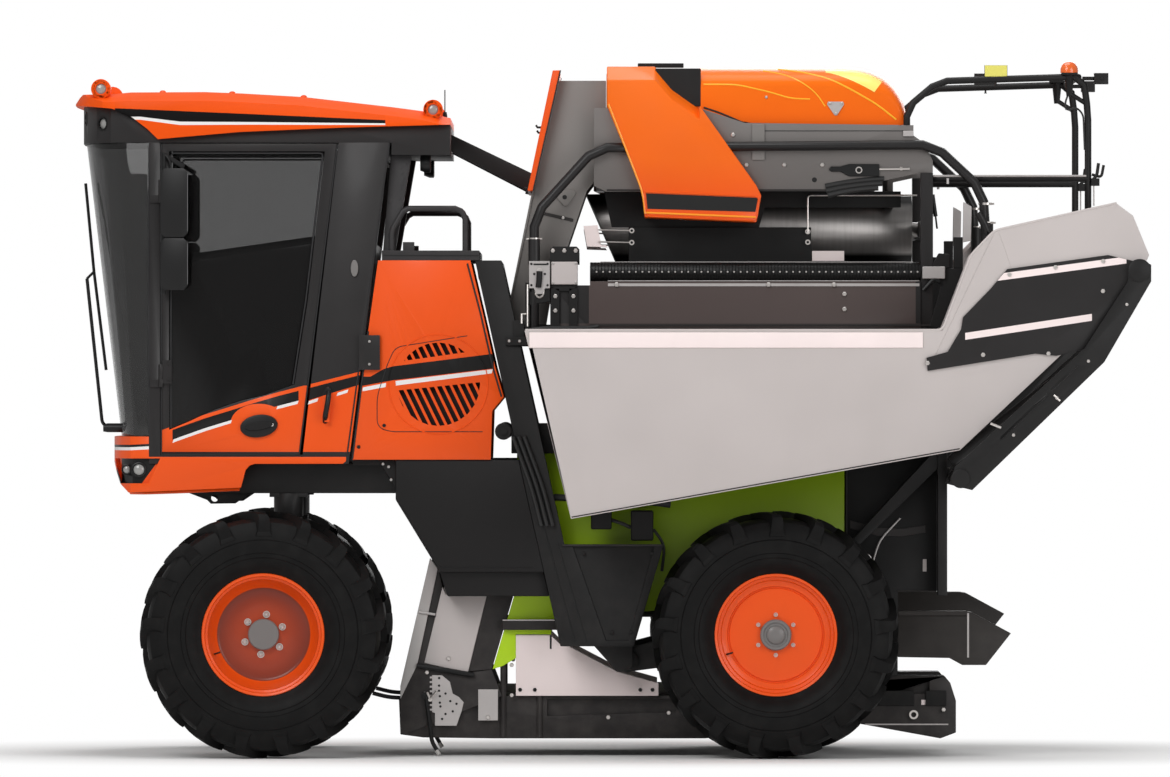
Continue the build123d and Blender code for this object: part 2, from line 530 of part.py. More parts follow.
# Front cowl: a painted apron round the front of the cab floor, open inside, with a lamp well in each corner
# and a strip that runs back under the door.
LAMP_WELL = [(-2609, 1574), (-2357, 1574), (-2420, 1443), (-2567, 1443)]
WELL_DEPTH = 24
with BuildPart() as lamp_well:
    plate(LAMP_WELL, 500, CAB_OUT + 10)
    extrude(plan_face(CAB_OUT - WELL_DEPTH, SCREEN_FOOT_X + WELL_DEPTH, CORNER_X, 0), amount=2000, mode=Mode.SUBTRACT)
    mirror(about=Plane.XZ)
with BuildPart() as front_cowl:
    apron = [
        (SCREEN_FOOT_X, SCREEN_FOOT_Z), (SCREEN_FOOT_X, 1572), (-2572, 1441), (-2525, 1394), (-1932, 1420), (-1906, 1515),
        (-1885, 1537), (-1858, BEAM_TOP), (CORNER_X, BEAM_TOP), (CORNER_X, SCREEN_FOOT_Z),
    ]
    plate(apron, -CAB_OUT, CAB_OUT)
    extrude(plan_face(CAB_OUT, SCREEN_FOOT_X, CORNER_X, -1850), amount=2000, mode=Mode.INTERSECT)
    extrude(plan_face(COWL_IN, COWL_NOSE_IN, CORNER_X, -1800), amount=2000, mode=Mode.SUBTRACT)
    for out in (-CAB_OUT, CAB_OUT - COWL_LIP):
        plate(COWL_STRIP, out, out + COWL_LIP)
    add(lamp_well.part, mode=Mode.SUBTRACT)
save(front_cowl.part, "front_cowl")

# Doors: a frame with a tall window and its pane, hung on two hinges at the front pillar, with an oval handle plate.
DOOR = [
    (DOOR_FRONT_X + DOOR_GAP / 2, CAB_TOP - 6), (DOOR_BACK_TOP_X, CAB_TOP - 6),
    (DOOR_BACK_FOOT_X, CAB_FLOOR + 6), (DOOR_FRONT_X + DOOR_GAP / 2, CAB_FLOOR + 6),
]
WINDOW = [
    (-2310, 3191), (-1490, 3191), (-1580, 2407), (-1650, 1963), (-1806, 1908), (-1937, 1877), (-2074, 1830),
    (-2205, 1769), (-2310, 1725),
]
HANDLE_X = -1837
HANDLE_Z = 1745
HANDLE_TURN = 8
for place, side in (("left", -1), ("right", 1)):
    with BuildPart() as door:
        plate(DOOR, CAB_OUT - CAB_WALL, CAB_OUT)
        plate(WINDOW, CAB_OUT - CAB_WALL, CAB_OUT, Mode.SUBTRACT)
        with BuildSketch(Plane.XZ.offset(CAB_OUT)) as boss:
            with Locations(Location((HANDLE_X, HANDLE_Z, 0), (0, 0, 1), HANDLE_TURN)):
                Ellipse(96, 58)
                Rectangle(110, 34, mode=Mode.SUBTRACT)
        extrude(boss.sketch, amount=16)
        for height in HINGE_HEIGHTS:
            span = (height - HINGE_HALF, height + HINGE_HALF)
            left((DOOR_FRONT_X + DOOR_GAP / 2, DOOR_FRONT_X + 60), (CAB_OUT, CAB_OUT + HINGE_LEAF_T), span)
            rod((DOOR_FRONT_X, -HINGE_OUT, span[0]), (DOOR_FRONT_X, -HINGE_OUT, span[1]), HINGE_R)
            bore_r = HINGE_PIN_R + PIN_CLEARANCE
            rod((DOOR_FRONT_X, -HINGE_OUT, span[0]), (DOOR_FRONT_X, -HINGE_OUT, span[1]), bore_r, Mode.SUBTRACT)
        if side > 0:
            mirror(about=Plane.XZ, mode=Mode.REPLACE)
    save(door.part, f"door_{place}")
    with BuildPart() as pane:
        plate(WINDOW, CAB_OUT - CAB_WALL / 2, CAB_OUT - CAB_WALL / 2 + GLASS_T)
        if side > 0:
            mirror(about=Plane.XZ, mode=Mode.REPLACE)
    save(pane.part, f"door_glass_{place}")

# Operator's seat with its arm rests, and the steering column with its wheel.
with BuildPart() as seat:
    block((-1750, -1600), (-180, 180), (CAB_FLOOR, 1960))
    plate([(-1950, 1975), (-1930, 2090), (-1500, 2080), (-1450, 2100), (-1450, 1960), (-1930, 1960)], -250, 250)
    back = [(-1570, 2080), (-1450, 2080), (-1350, 2620), (-1380, 2680), (-1450, 2640)]
    plate(back, -240, 240)
    plate([(-1430, 2660), (-1350, 2640), (-1330, 2820), (-1400, 2830)], -130, 130)
    for out in (-310, 250):
        plate([(-1780, 2240), (-1490, 2240), (-1480, 2080), (-1430, 2080), (-1440, 2290), (-1780, 2290)], out, out + 60)
save(seat.part, "seat")
with BuildPart() as console:
    plate([(-2300, CAB_FLOOR), (-2180, CAB_FLOOR), (-2080, 2300), (-2150, 2320)], -60, 60)
    wheel_plane = Plane(origin=(-2110, 0, 2310), z_dir=(0.42, 0, 0.9))
    with BuildSketch(wheel_plane) as wheel:
        RegularPolygon(200, 16)
        RegularPolygon(172, 16, mode=Mode.SUBTRACT)
        Rectangle(350, 40)
    extrude(wheel.sketch, amount=26)
save(console.part, "steering_column")

# Engine bay: side covers with a round grille of slanted slots, the engine and the deck above.
COVER_FOOT = TANK_TOP
COVER = [
    (-1210, DECK_BOTTOM), (-724, DECK_BOTTOM), (-659, 2344), (-593, 2055), (-548, 1898), (-609, 1824), (-617, COVER_FOOT),
    (-1345, COVER_FOOT), (-1262, 2244),
]
GRILLE_X = -893
GRILLE_Z = 1965
GRILLE_R = 220
SLOT_PITCH = 38
SLOT_RIB = 14
SLOT_TURN = 26
SLOT_RIBS = 12
GRILLE_BAND = [(-1130, 2080), (-660, 2146), (-660, 1977), (-1130, 1930)]
with BuildPart() as engine_covers:
    plate(COVER, CAB_OUT - COVER_T, CAB_OUT)
    with BuildSketch(Plane.XZ.offset(CAB_OUT - COVER_T)) as slots:
        with Locations((GRILLE_X, GRILLE_Z)):
            RegularPolygon(GRILLE_R, 24)
        with Locations(Location((GRILLE_X, GRILLE_Z, 0), (0, 0, 1), SLOT_TURN)):
            with GridLocations(SLOT_PITCH, 0, SLOT_RIBS, 1):
                Rectangle(SLOT_RIB, 3 * GRILLE_R, mode=Mode.SUBTRACT)
        with BuildLine():
            Polyline(*GRILLE_BAND, close=True)
        make_face(mode=Mode.SUBTRACT)
    extrude(slots.sketch, amount=COVER_T, mode=Mode.SUBTRACT)
    mirror(about=Plane.XZ)
save(engine_covers.part, "engine_covers")
with BuildPart() as engine_block:
    block((-1200, -700), (-300, 300), (BEAM_TOP, 2300))
save(engine_block.part, "engine_block")
with BuildPart() as deck:
    block((-1190, -677), (-CAB_OUT, CAB_OUT), (DECK_BOTTOM, DECK_TOP))
    rail_out = CAB_OUT - 30
    tube([
        (-1139, -rail_out, DECK_TOP), (-1139, -rail_out, 2775), (-1071, -rail_out, 2890), (-788, -rail_out, 2890),
        (-751, -rail_out, 2853), (-751, -rail_out, DECK_TOP),
    ], 16, 18)
    left((-1080, -1020), (rail_out - 60, rail_out - 10), (DECK_TOP, DECK_TOP + 45))
    post = [(-1144, 3172), (-1034, 3172), (-1120, DECK_TOP), (-1185, DECK_TOP)]
    plate(post, CAB_OUT - 160, CAB_OUT - 60)
    mirror(about=Plane.XZ)
save(deck.part, "deck")

# Picking head: the tunnel over the vine row, with its walls, nose, skirts and bottom rails.
with BuildPart() as tunnel_walls:
    wall = [
        (-609, 459), (-494, 853), (-480, REAR_BEAM_BOTTOM), (1250, REAR_BEAM_BOTTOM), (1250, 1000), (600, 800),
        (-294, 722), (-299, 643), (-486, 643), (-486, 517), (-556, 475),
    ]
    plate(wall, HEAD_IN, HEAD_OUT)
    mirror(about=Plane.XZ)
save(tunnel_walls.part, "tunnel_walls")
with BuildPart() as head_rails:
    rail = [
        (-1105, 300), (-1097, 113), (-976, 97), (-600, HEAD_BOTTOM), (514, HEAD_BOTTOM), (1323, 171), (1759, HEAD_BOTTOM), (1841, 123),
        (1841, 291), (1811, 386), (1780, 423), (1507, 423), (1339, 281), (373, 318), (-486, 318), (-609, 318), (-1013, 330),
    ]
    plate(rail, TUNNEL_HALF + 30, HEAD_IN)
    groove = [(-320, 300), (360, 300), (360, 232), (-320, 212)]
    plate(groove, HEAD_IN - 25, HEAD_IN, Mode.SUBTRACT)
    plate([(1480, 400), (1700, 400), (1700, 330), (1480, 330)], HEAD_IN - 40, HEAD_IN, Mode.SUBTRACT)
    mirror(about=Plane.XZ)
save(head_rails.part, "head_rails")
with BuildPart() as head_noses:
    plate([(-1097, 370), (-940, 1047), (-898, 990), (-1008, 480), (-1097, 300)], HEAD_IN, HEAD_OUT)
    plate([(-874, 895), (-856, 853), (-640, 848), (-740, 438), (-971, 491)], HEAD_IN, HEAD_OUT)
    mirror(about=Plane.XZ)
save(head_noses.part, "head_noses")
with BuildPart() as head_columns:
    column = [(-736, 448), (-640, 848), (-640, 1389), (-500, 1389), (-500, 848), (-615, 459)]
    plate(column, HEAD_IN, HEAD_OUT)
    plate([(-1008, 480), (-898, 990), (-874, 895), (-971, 491)], HEAD_IN, HEAD_OUT - 10)
    cheek = [(-1097, 300), (-1008, 480), (-971, 491), (-740, 438), (-615, 459), (-560, 318), (-1080, 113), (-1097, 130)]
    plate(cheek, HEAD_IN, HEAD_OUT - 6)
    plate([(-556, 722), (-268, 722), (-268, 667), (-556, 667)], HEAD_OUT, HEAD_OUT + 40)
    mirror(about=Plane.XZ)
save(head_columns.part, "head_columns")
with BuildPart() as head_skirts:
    skirt = [(-486, 640), (-302, 640), (-252, 591), (-215, 585), (52, 446), (268, 386), (268, 318), (-486, 318)]
    plate(skirt, HEAD_IN, HEAD_OUT)
    mirror(about=Plane.XZ)
save(head_skirts.part, "head_skirts")

# Shakers: upright shafts at both ends of each wall, joined by bowed rods that lean into the row.
SHAKER_FRONT_X = -430
SHAKER_BACK_X = 1000
SHAKER_OUT = HEAD_IN - 100
SHAKER_BOW_OUT = TUNNEL_HALF - 100
SHAKER_ROWS = 8
SHAKER_PITCH = 85
with BuildPart() as shaker_rods:
    for shaft_x in (SHAKER_FRONT_X, SHAKER_BACK_X):
        bar((shaft_x, -SHAKER_OUT, 700), (shaft_x, -SHAKER_OUT, REAR_BEAM_BOTTOM - 20), 30, 8)
        for height in (1000, 1500):
            left((shaft_x - 22, shaft_x + 22), (SHAKER_OUT, HEAD_IN), (height, height + 40))
    for row in range(SHAKER_ROWS):
        height = 740 + row * SHAKER_PITCH
        tube([
            (SHAKER_FRONT_X, -SHAKER_OUT, height), (SHAKER_FRONT_X + 350, -SHAKER_BOW_OUT, height),
            (SHAKER_BACK_X - 350, -SHAKER_BOW_OUT, height), (SHAKER_BACK_X, -SHAKER_OUT, height),
        ], 15, 110, 6)
    mirror(about=Plane.XZ)
save(shaker_rods.part, "shaker_rods")

# Catchers: a row of tilted scales on both sides of the row, every other one lying over its neighbours.
SCALE_COUNT = 11
SCALE_LENGTH = 173
with BuildPart() as catchers:
    for index in range(SCALE_COUNT):
        thick = 8 + 8 * (index % 2)
        with BuildSketch(Plane.YZ.offset(-600 + index * SCALE_LENGTH)) as slope:
            with BuildLine():
                Polyline(
                    (-TUNNEL_HALF - 30, 318), (-15, 360), (-15, 360 + thick), (-TUNNEL_HALF - 30, 318 + thick + 4), close=True,
                )
            make_face()
        extrude(slope.sketch, amount=SCALE_LENGTH)
    mirror(about=Plane.XZ)
save(catchers.part, "catcher_scales")

# Elevators: a column behind each wall lifts the fruit to the tables, with a sheet shield beside it.
SHIELD_T = 12
with BuildPart() as elevators:
    column = [(1300, TABLE_BOTTOM), (1533, TABLE_BOTTOM), (1533, 423), (1507, 423), (1339, 281), (1300, 282.5)]
    plate(column, TUNNEL_HALF + 30, HEAD_IN)
    shield = [
        (1255, REAR_BEAM_BOTTOM), (REAR_POST_X, REAR_BEAM_BOTTOM), (REAR_POST_X, 870), (1533, 870), (1533, 640), (1255, 640),
    ]
    plate(shield, HEAD_IN, HEAD_IN + SHIELD_T)
    mirror(about=Plane.XZ)
save(elevators.part, "elevator_columns")

# Lower fan ducts behind the head; the right one stands higher.
DUCT = [(1533, 764), (1895, 764), (1927, 759), (2132, 648), (2000, 480), (1874, 480), (1806, 517), (1533, 522)]
DUCT_STEP = 85
with BuildPart() as fan_ducts:
    for duct_in, lift in ((HEAD_IN - 190, 0), (-HEAD_IN, DUCT_STEP)):
        raised = [(x, z + lift) for x, z in DUCT]
        plate(raised, duct_in, duct_in + 190)
        mouth = [(2090, 620 + lift), (2140, 690 + lift), (2140, 470 + lift), (2010, 500 + lift)]
        plate(mouth, duct_in + 15, duct_in + 175, Mode.SUBTRACT)
save(fan_ducts.part, "lower_fan_ducts")

# Bins: two long hoppers over the rear wheels, each tipping about a pin at its spout, with a stiffening band outside.
BIN = [
    (-436, 2244), (-194, 1263), (1832, 1620), (2756, 2491), (2819, 2638), (2735, 2843), (2651, 2906),
    (2016, 2764), (1895, 2638), (1743, 2244),
]
BIN_HOLLOW = [
    (-411, 2300), (-411, 2244), (-178, 1287), (1824, 1640), (2736, 2500), (2796, 2640), (2760, 2760), (3000, 2900),
    (3000, 3100), (2100, 3100), (1900, 2800), (1800, 2300),
]
SIDE_PLATE = [
    (1664, 2034), (2226, 2124), (2336, 2113), (2583, 2171), (2793, 2486), (PIVOT_X, 2600), (2604, 2638), (2079, 2565),
    (1990, 2460), (1848, 2313), (1838, 2250), (1769, 2134), (1659, 2103),
]
for place, side in (("left", -1), ("right", 1)):
    with BuildPart() as bin_shell:
        plate(BIN, BIN_IN, BIN_OUT)
        plate(BIN_HOLLOW, BIN_IN + BIN_WALL, BIN_OUT - BIN_WALL, Mode.SUBTRACT)
        left((-410, 1640), (BIN_OUT, BIN_OUT + 8), (2155, 2234))
        rod((PIVOT_X, -(BIN_IN - 10), PIVOT_Z), (PIVOT_X, -(BIN_IN + BIN_WALL), PIVOT_Z), PIVOT_R)
        rod((PIVOT_X, -BIN_IN, PIVOT_Z), (PIVOT_X, -(BIN_IN - 10 - ARM_GAP - ARM_T), PIVOT_Z), PIVOT_PIN_R)
        if side > 0:
            mirror(about=Plane.XZ, mode=Mode.REPLACE)
    save(bin_shell.part, f"bin_{place}")
    with BuildPart() as bin_plate:
        plate(SIDE_PLATE, BIN_OUT, BIN_OUT + BIN_PLATE_T)
        arm_out = BIN_OUT + BIN_PLATE_T + ARM_GAP + ARM_T
        rod((PIVOT_X, -BIN_OUT, PIVOT_Z), (PIVOT_X, -(BIN_OUT + BIN_PLATE_T), PIVOT_Z), PIVOT_R)
        rod((PIVOT_X, -BIN_OUT, PIVOT_Z), (PIVOT_X, -arm_out, PIVOT_Z), PIVOT_PIN_R)
        if side > 0:
            mirror(about=Plane.XZ, mode=Mode.REPLACE)
    save(bin_plate.part, f"bin_side_plate_{place}")

# Tipping frame: a cross tube behind the rear posts with an inner and an outer arm for each bin;
# the outer arm has two long slots.
CROSS_TUBE_R = 45
CROSS_TUBE = (REAR_X + CROSS_TUBE_R, 1473)
ARM_SLOT_W = 14
with BuildPart() as tip_frame:
    foot_x, foot_z = CROSS_TUBE
    arm = [
        (foot_x - 60, foot_z - 30), (foot_x + 60, foot_z - 60), (2583, 2080), (PIVOT_X + 60, 2500),
        (PIVOT_X + 60, PIVOT_Z + 30), (PIVOT_X, PIVOT_Z + PIVOT_R), (PIVOT_X - 60, PIVOT_Z), (PIVOT_X - 60, 2500),
        (2480, 2150), (foot_x - 30, foot_z + 60),
    ]
    inner_arm = BIN_IN - 10 - ARM_GAP
    outer_arm = BIN_OUT + BIN_PLATE_T + ARM_GAP
    plate(arm, inner_arm - ARM_T, inner_arm)
    plate(arm, outer_arm, outer_arm + ARM_T)
    for slot_start, slot_end in (((2440, 2062), (2305, 1933)), ((2284, 1912), (2042, 1680))):
        with BuildSketch(Plane.XZ.offset(outer_arm)) as slot:
            with BuildLine():
                Line(slot_start, slot_end)
            trace(line_width=ARM_SLOT_W)
        extrude(slot.sketch, amount=ARM_T, mode=Mode.SUBTRACT)
    bar((foot_x, 0, foot_z), (foot_x, -(outer_arm + ARM_T), foot_z), CROSS_TUBE_R, 12)
    hole_r = PIVOT_PIN_R + PIN_CLEARANCE
    rod((PIVOT_X, -(inner_arm - ARM_T), PIVOT_Z), (PIVOT_X, -inner_arm, PIVOT_Z), hole_r, Mode.SUBTRACT)
    rod((PIVOT_X, -outer_arm, PIVOT_Z), (PIVOT_X, -(outer_arm + ARM_T), PIVOT_Z), hole_r, Mode.SUBTRACT)
    mirror(about=Plane.XZ)
save(tip_frame.part, "bin_tipping_frame")

# Sorting tables: side frames, a tray floor, cross rollers and a perforated feed tube along each side.
TABLE_FRONT_X = -94
TABLE_BACK_X = 1648
TABLE_TOP = 2507
TABLE_OUT = 830
TABLE_WALL = 30
TABLE_POST_W = 64
with BuildPart() as tables:
    post_x = (TABLE_BACK_X, TABLE_BACK_X + TABLE_POST_W)
    left((TABLE_FRONT_X, TABLE_BACK_X), (TABLE_OUT - TABLE_WALL, TABLE_OUT), (TABLE_BOTTOM, TABLE_TOP))
    left((TABLE_FRONT_X, TABLE_BACK_X), (0, TABLE_WALL), (TABLE_BOTTOM, TABLE_TOP))
    left((TABLE_FRONT_X, post_x[1]), (TABLE_WALL, TABLE_OUT - TABLE_WALL), (TABLE_BOTTOM, TABLE_BOTTOM + 20))
    left((-600, TABLE_FRONT_X), (0, 690), (TABLE_BOTTOM, TABLE_BOTTOM + 20))
    left(post_x, (TABLE_OUT - 110, TABLE_OUT - 10), (TABLE_BOTTOM, 3079))
    left(post_x, (0, TABLE_OUT - 110), (2740, 2830))
    left((-304, TABLE_FRONT_X), (TABLE_OUT - 100, TABLE_OUT), (2250, 2486))
    left((-294, -163), (TABLE_OUT - 100, TABLE_OUT), (2486, 2628))
    left((-420, TABLE_FRONT_X), (TABLE_OUT - 100, TABLE_OUT + 20), (2236, 2250))
    mirror(about=Plane.XZ)
save(tables.part, "sorting_tables")
ROLLER_R = 32
ROLLER_COUNT = 16
ROLLER_Z = 2440
with BuildPart() as rollers:
    pitch = (TABLE_BACK_X - TABLE_FRONT_X) / ROLLER_COUNT
    for row in range(ROLLER_COUNT):
        roller_x = TABLE_FRONT_X + (row + 0.5) * pitch
        bar((roller_x, -TABLE_WALL, ROLLER_Z), (roller_x, -(TABLE_OUT - TABLE_WALL), ROLLER_Z), ROLLER_R)
    mirror(about=Plane.XZ)
save(rollers.part, "table_rollers")
with BuildPart() as feed_tubes:
    bar((TABLE_FRONT_X, -780, TABLE_TOP + 50), (TABLE_BACK_X, -780, TABLE_TOP + 50), 50, 12)
    mirror(about=Plane.XZ)
save(feed_tubes.part, "table_augers")

# Threshing drums under the top housing, cut on a slant at the front, each on a shaft to the rear cross member.
DRUM = (300, 2785)
DRUM_SIDE_R = 190
DRUM_BACK_X = 1612
DRUM_FRONT_CUT = [(-200, 3010), (-121, 2990), (5, 2706), (68, 2560), (-200, 2560)]
with BuildPart() as drums:
    bar((-121, -DRUM[0], DRUM[1]), (DRUM_BACK_X, -DRUM[0], DRUM[1]), DRUM_SIDE_R, 16)
    plate(DRUM_FRONT_CUT, DRUM[0] - DRUM_SIDE_R, DRUM[0] + DRUM_SIDE_R, Mode.SUBTRACT)
    bar((DRUM_BACK_X, -DRUM[0], DRUM[1]), (TABLE_BACK_X, -DRUM[0], DRUM[1]), 40, 12)
    mirror(about=Plane.XZ)
save(drums.part, "threshing_drums")

# Front casing of the top unit: leaning side cheeks and a cross panel, with the sheet in front of them.
with BuildPart() as front_casing:
    cheek = [
        (-262, 3567), (-10, 3567), (-10, 3116), (-110, 2985), (-210, 2696), (-310, 2400), (-330, 2280), (-536, 2280),
        (-394, 2985),
    ]
    plate(cheek, 640, 690)
    left((-60, -10), (0, 640), (3000, 3567))
    left((-262, -60), (0, 640), (3530, 3567))
    mirror(about=Plane.XZ)
save(front_casing.part, "front_casing")
with BuildPart() as front_sheet:
    sheet = [(-291, 3620), (-250, 3620), (-262, 3567), (-394, 2985), (-424, 2985)]
    plate(sheet, -(TABLE_OUT - 70), TABLE_OUT - 70)
save(front_sheet.part, "front_sheet")

# Air ducts of the two cleaning fans: a fan housing on top, a bend over the rail, and a mouth above each bin.
DUCT_IN = 500
DUCT_OUT = 850
DUCT_WALL = 12
FAN_DUCT = [
    (-5, 3641), (247, 3641), (336, 3536), (483, 3431), (782, 3011), (808, 2958), (782, 2817), (194, 2843),
    (184, 2974), (-5, 3430),
]
DUCT_HOLLOW = [(196, 2978), (110, 3190), (620, 3190), (772, 3006), (796, 2956), (775, 2700), (206, 2700)]
FAN_Z = 3500
FAN_X = 170
with BuildPart() as fan_chutes:
    plate(FAN_DUCT, DUCT_IN, DUCT_OUT)
    shoulder([(-5, 3641), (247, 3641), (336, 3536), (483, 3431)], DUCT_OUT - 130, DUCT_OUT + 1, 75)
    plate(DUCT_HOLLOW, DUCT_IN + DUCT_WALL, DUCT_OUT - DUCT_WALL, Mode.SUBTRACT)
    mirror(about=Plane.XZ)
save(fan_chutes.part, "fan_chutes")

# Top housing: long side panels cut out for the ducts, a roof sheet, and two bulkheads that carry the drums.
HOUSING_OUT = 790
HOUSING_T = 25
SHEET_T = 20
with BuildPart() as top_housing:
    panel = [
        (-74, 3420), (483, 3420), (719, 3342), (1533, 3331), (1664, 3237), (1712, 3142), (1712, 3079), (1648, 3079),
        (1218, 2985), (-10, 2979), (-74, 3010),
    ]
    plate(panel, HOUSING_OUT - HOUSING_T, HOUSING_OUT)
    plate(FAN_DUCT, DUCT_IN, DUCT_OUT, Mode.SUBTRACT)
    left((-10, 503), (0, DUCT_IN), (3400, 3420))
    left((483, 503), (0, DUCT_IN), (3325, 3400))
    left((483, 1533), (0, DUCT_IN), (3305, 3325))
    left((600, 1533), (0, HOUSING_OUT - HOUSING_T), (3305, 3325))
    left((273, 483), (0, 480), (3420, 3625))
    left((1540, 1610), (HOUSING_OUT - HOUSING_T, HOUSING_OUT), (3270, 3330))
    for bulkhead_x in (100, 1480):
        left((bulkhead_x, bulkhead_x + 30), (0, DUCT_IN), (2900, 3310))
    bar((0, -DRUM[0], DRUM[1]), (DRUM_BACK_X, -DRUM[0], DRUM[1]), DRUM_SIDE_R, 16, Mode.SUBTRACT)
    left((100, 130), (0, DUCT_IN), (3310, 3400))
    mirror(about=Plane.XZ)
save(top_housing.part, "top_housing")
HOOD_OUT = 750
with BuildPart() as orange_hood:
    hood = [
        (483, 3641), (1349, 3641), (1480, 3560), (1559, 3457), (1580, 3345), (1533, 3325), (503, 3325), (503, 3420), (483, 3420),
    ]
    plate(hood, -HOOD_OUT, HOOD_OUT)
    shoulder([(400, 3641), (1349, 3641), (1480, 3560), (1559, 3457), (1590, 3290)], HOOD_OUT - 250, HOOD_OUT + 1, 110)
    for duct_in in (DUCT_IN, -DUCT_OUT):
        plate(FAN_DUCT, duct_in, duct_in + DUCT_OUT - DUCT_IN, Mode.SUBTRACT)
save(orange_hood.part, "top_hood")

# Guard rails along the top unit, interrupted by the ducts that they are clamped to.
RAIL_OUT = 825
RAIL_R = 25
with BuildPart() as guard_rails:
    tube([
        (-388, -RAIL_OUT, 2250), (-388, -RAIL_OUT, 2853), (-63, -RAIL_OUT, 3210), (1717, -RAIL_OUT, 3226),
        (1974, -RAIL_OUT, 2985), (2000, -RAIL_OUT, 2600),
    ], RAIL_R, 60)
    plate(FAN_DUCT, DUCT_IN, DUCT_OUT, Mode.SUBTRACT)
    mirror(about=Plane.XZ)
save(guard_rails.part, "guard_rails")

# Rear gantry: a bent tube over the bins' hinge side on each side, with the beacon's socket, a lamp box and a cross tube.
GANTRY_OUT = 777
GANTRY_R = 18
GANTRY_Z = 3586
BEACON_X = 2431
BEACON_Z = GANTRY_Z + GANTRY_R + 2
with BuildPart() as gantry:
    out = GANTRY_OUT
    tube([
        (1575, -out, 3330), (1575, -out, 3420), (1743, -out, GANTRY_Z - 24), (2504, -out, GANTRY_Z),
        (2530, -out, GANTRY_Z - 186), (2530, -out, 2700),
    ], GANTRY_R, 45)
    bar((TABLE_BACK_X + TABLE_POST_W, -out, 3048), (2530, -out, 3048), GANTRY_R)
    left((BEACON_X - 41, BEACON_X + 44), (out - 40, out + 40), (BEACON_Z - 10, BEACON_Z))
    rings(Plane((BEACON_X, -out, BEACON_Z - 123)), ((0, 15), (105, 26), (115, 34)), 8)
    bar((BEACON_X, -out, GANTRY_Z - 86), (2525, -out, GANTRY_Z - 146), 12)
    left((2562, 2636), (out - 35, out + 35), (GANTRY_Z - 40, GANTRY_Z + 18))
    left((2500, 2562), (out - 12, out + 12), (GANTRY_Z - 20, GANTRY_Z))
    left((1984, 2105), (out - 3, out + 3), (GANTRY_Z - 26, GANTRY_Z + 60))
    mirror(about=Plane.XZ)
    bar((2480, -out, GANTRY_Z - 2), (2480, out, GANTRY_Z - 2), 17)
save(gantry.part, "rear_gantry")
with BuildPart() as beacon:
    rings(Plane((BEACON_X, -GANTRY_OUT, BEACON_Z)), ((0, 47), (39, 47), (54, 38), (61, 15)), 12)
save(beacon.part, "beacon")

# Brace between the cab roof and the top unit, with a gas spring beside it.
with BuildPart() as brace_part:
    plate([(ROOF_TAIL_X, 3290), (ROOF_TAIL_X, 3200), (-423, 2990), (-403.1, 3085)], 300, 340)
    left((-660, -620), (260, 300), (3120, 3180))
    bar((-640, -280, 3150), (-560, -280, 3095), 16)
    bar((-560, -280, 3095), (-426, -280, 3002), 6)
    mirror(about=Plane.XZ)
save(brace_part.part, "cab_brace")

# Mirrors on the doors: a tall one over a wide-angle one on a common rod.
MIRROR_OUT = CAB_OUT + 60
MIRROR_T = 50
ROD_X = -2336
for place, side in (("left", -1), ("right", 1)):
    with BuildPart() as mirror_part:
        bar((ROD_X, -MIRROR_OUT, 2440), (ROD_X, -MIRROR_OUT, 3180), 10)
        for low, high in ((2738, 3100), (2460, 2733)):
            shell = [
                (-2352, low + 22), (-2330, low), (-2230, low), (-2210, low + 22), (-2210, high - 22), (-2230, high),
                (-2330, high), (-2352, high - 22),
            ]
            plate(shell, MIRROR_OUT + 2, MIRROR_OUT + MIRROR_T)
        left((ROD_X - 10, ROD_X + 10), (CAB_OUT, MIRROR_OUT), (3160, 3180))
        if side > 0:
            mirror(about=Plane.XZ, mode=Mode.REPLACE)
    save(mirror_part.part, f"mirror_{place}")
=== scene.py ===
"""Dresses the self-propelled grape harvester. Metres, front towards -X, left side towards -Y, up +Z."""

import math

import bmesh
import bpy
import numpy as np
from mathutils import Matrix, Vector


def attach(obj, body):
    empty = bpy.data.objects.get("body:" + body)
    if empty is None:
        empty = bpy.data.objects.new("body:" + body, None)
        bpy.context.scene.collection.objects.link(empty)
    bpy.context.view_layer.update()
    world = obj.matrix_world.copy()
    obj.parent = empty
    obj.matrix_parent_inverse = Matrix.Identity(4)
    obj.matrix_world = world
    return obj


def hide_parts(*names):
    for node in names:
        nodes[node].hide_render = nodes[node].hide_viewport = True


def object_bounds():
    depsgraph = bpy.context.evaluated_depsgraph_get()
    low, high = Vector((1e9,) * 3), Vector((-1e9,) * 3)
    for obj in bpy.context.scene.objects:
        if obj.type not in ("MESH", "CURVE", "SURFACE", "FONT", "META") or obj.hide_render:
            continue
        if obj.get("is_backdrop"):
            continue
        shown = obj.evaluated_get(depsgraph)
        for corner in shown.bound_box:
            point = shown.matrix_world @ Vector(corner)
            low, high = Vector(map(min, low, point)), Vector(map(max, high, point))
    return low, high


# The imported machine: its solids, its bodies and the box that it fills.
# Everything below is built round these, in the same frame.
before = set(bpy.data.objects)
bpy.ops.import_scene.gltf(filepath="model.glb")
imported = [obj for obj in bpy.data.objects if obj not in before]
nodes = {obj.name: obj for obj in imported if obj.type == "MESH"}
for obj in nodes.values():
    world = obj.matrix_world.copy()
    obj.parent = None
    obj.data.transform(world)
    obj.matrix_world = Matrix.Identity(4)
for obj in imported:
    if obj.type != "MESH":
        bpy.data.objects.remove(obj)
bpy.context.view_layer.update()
scene = bpy.context.scene

# The chassis is welded from black-painted steel box and plate: low side beams under the cab, two
# leaning members, the rear leg boxes and the high beams over the vine row. The front legs, the
# steered knuckles and the trailing rear arms carry the wheels and are painted with it.


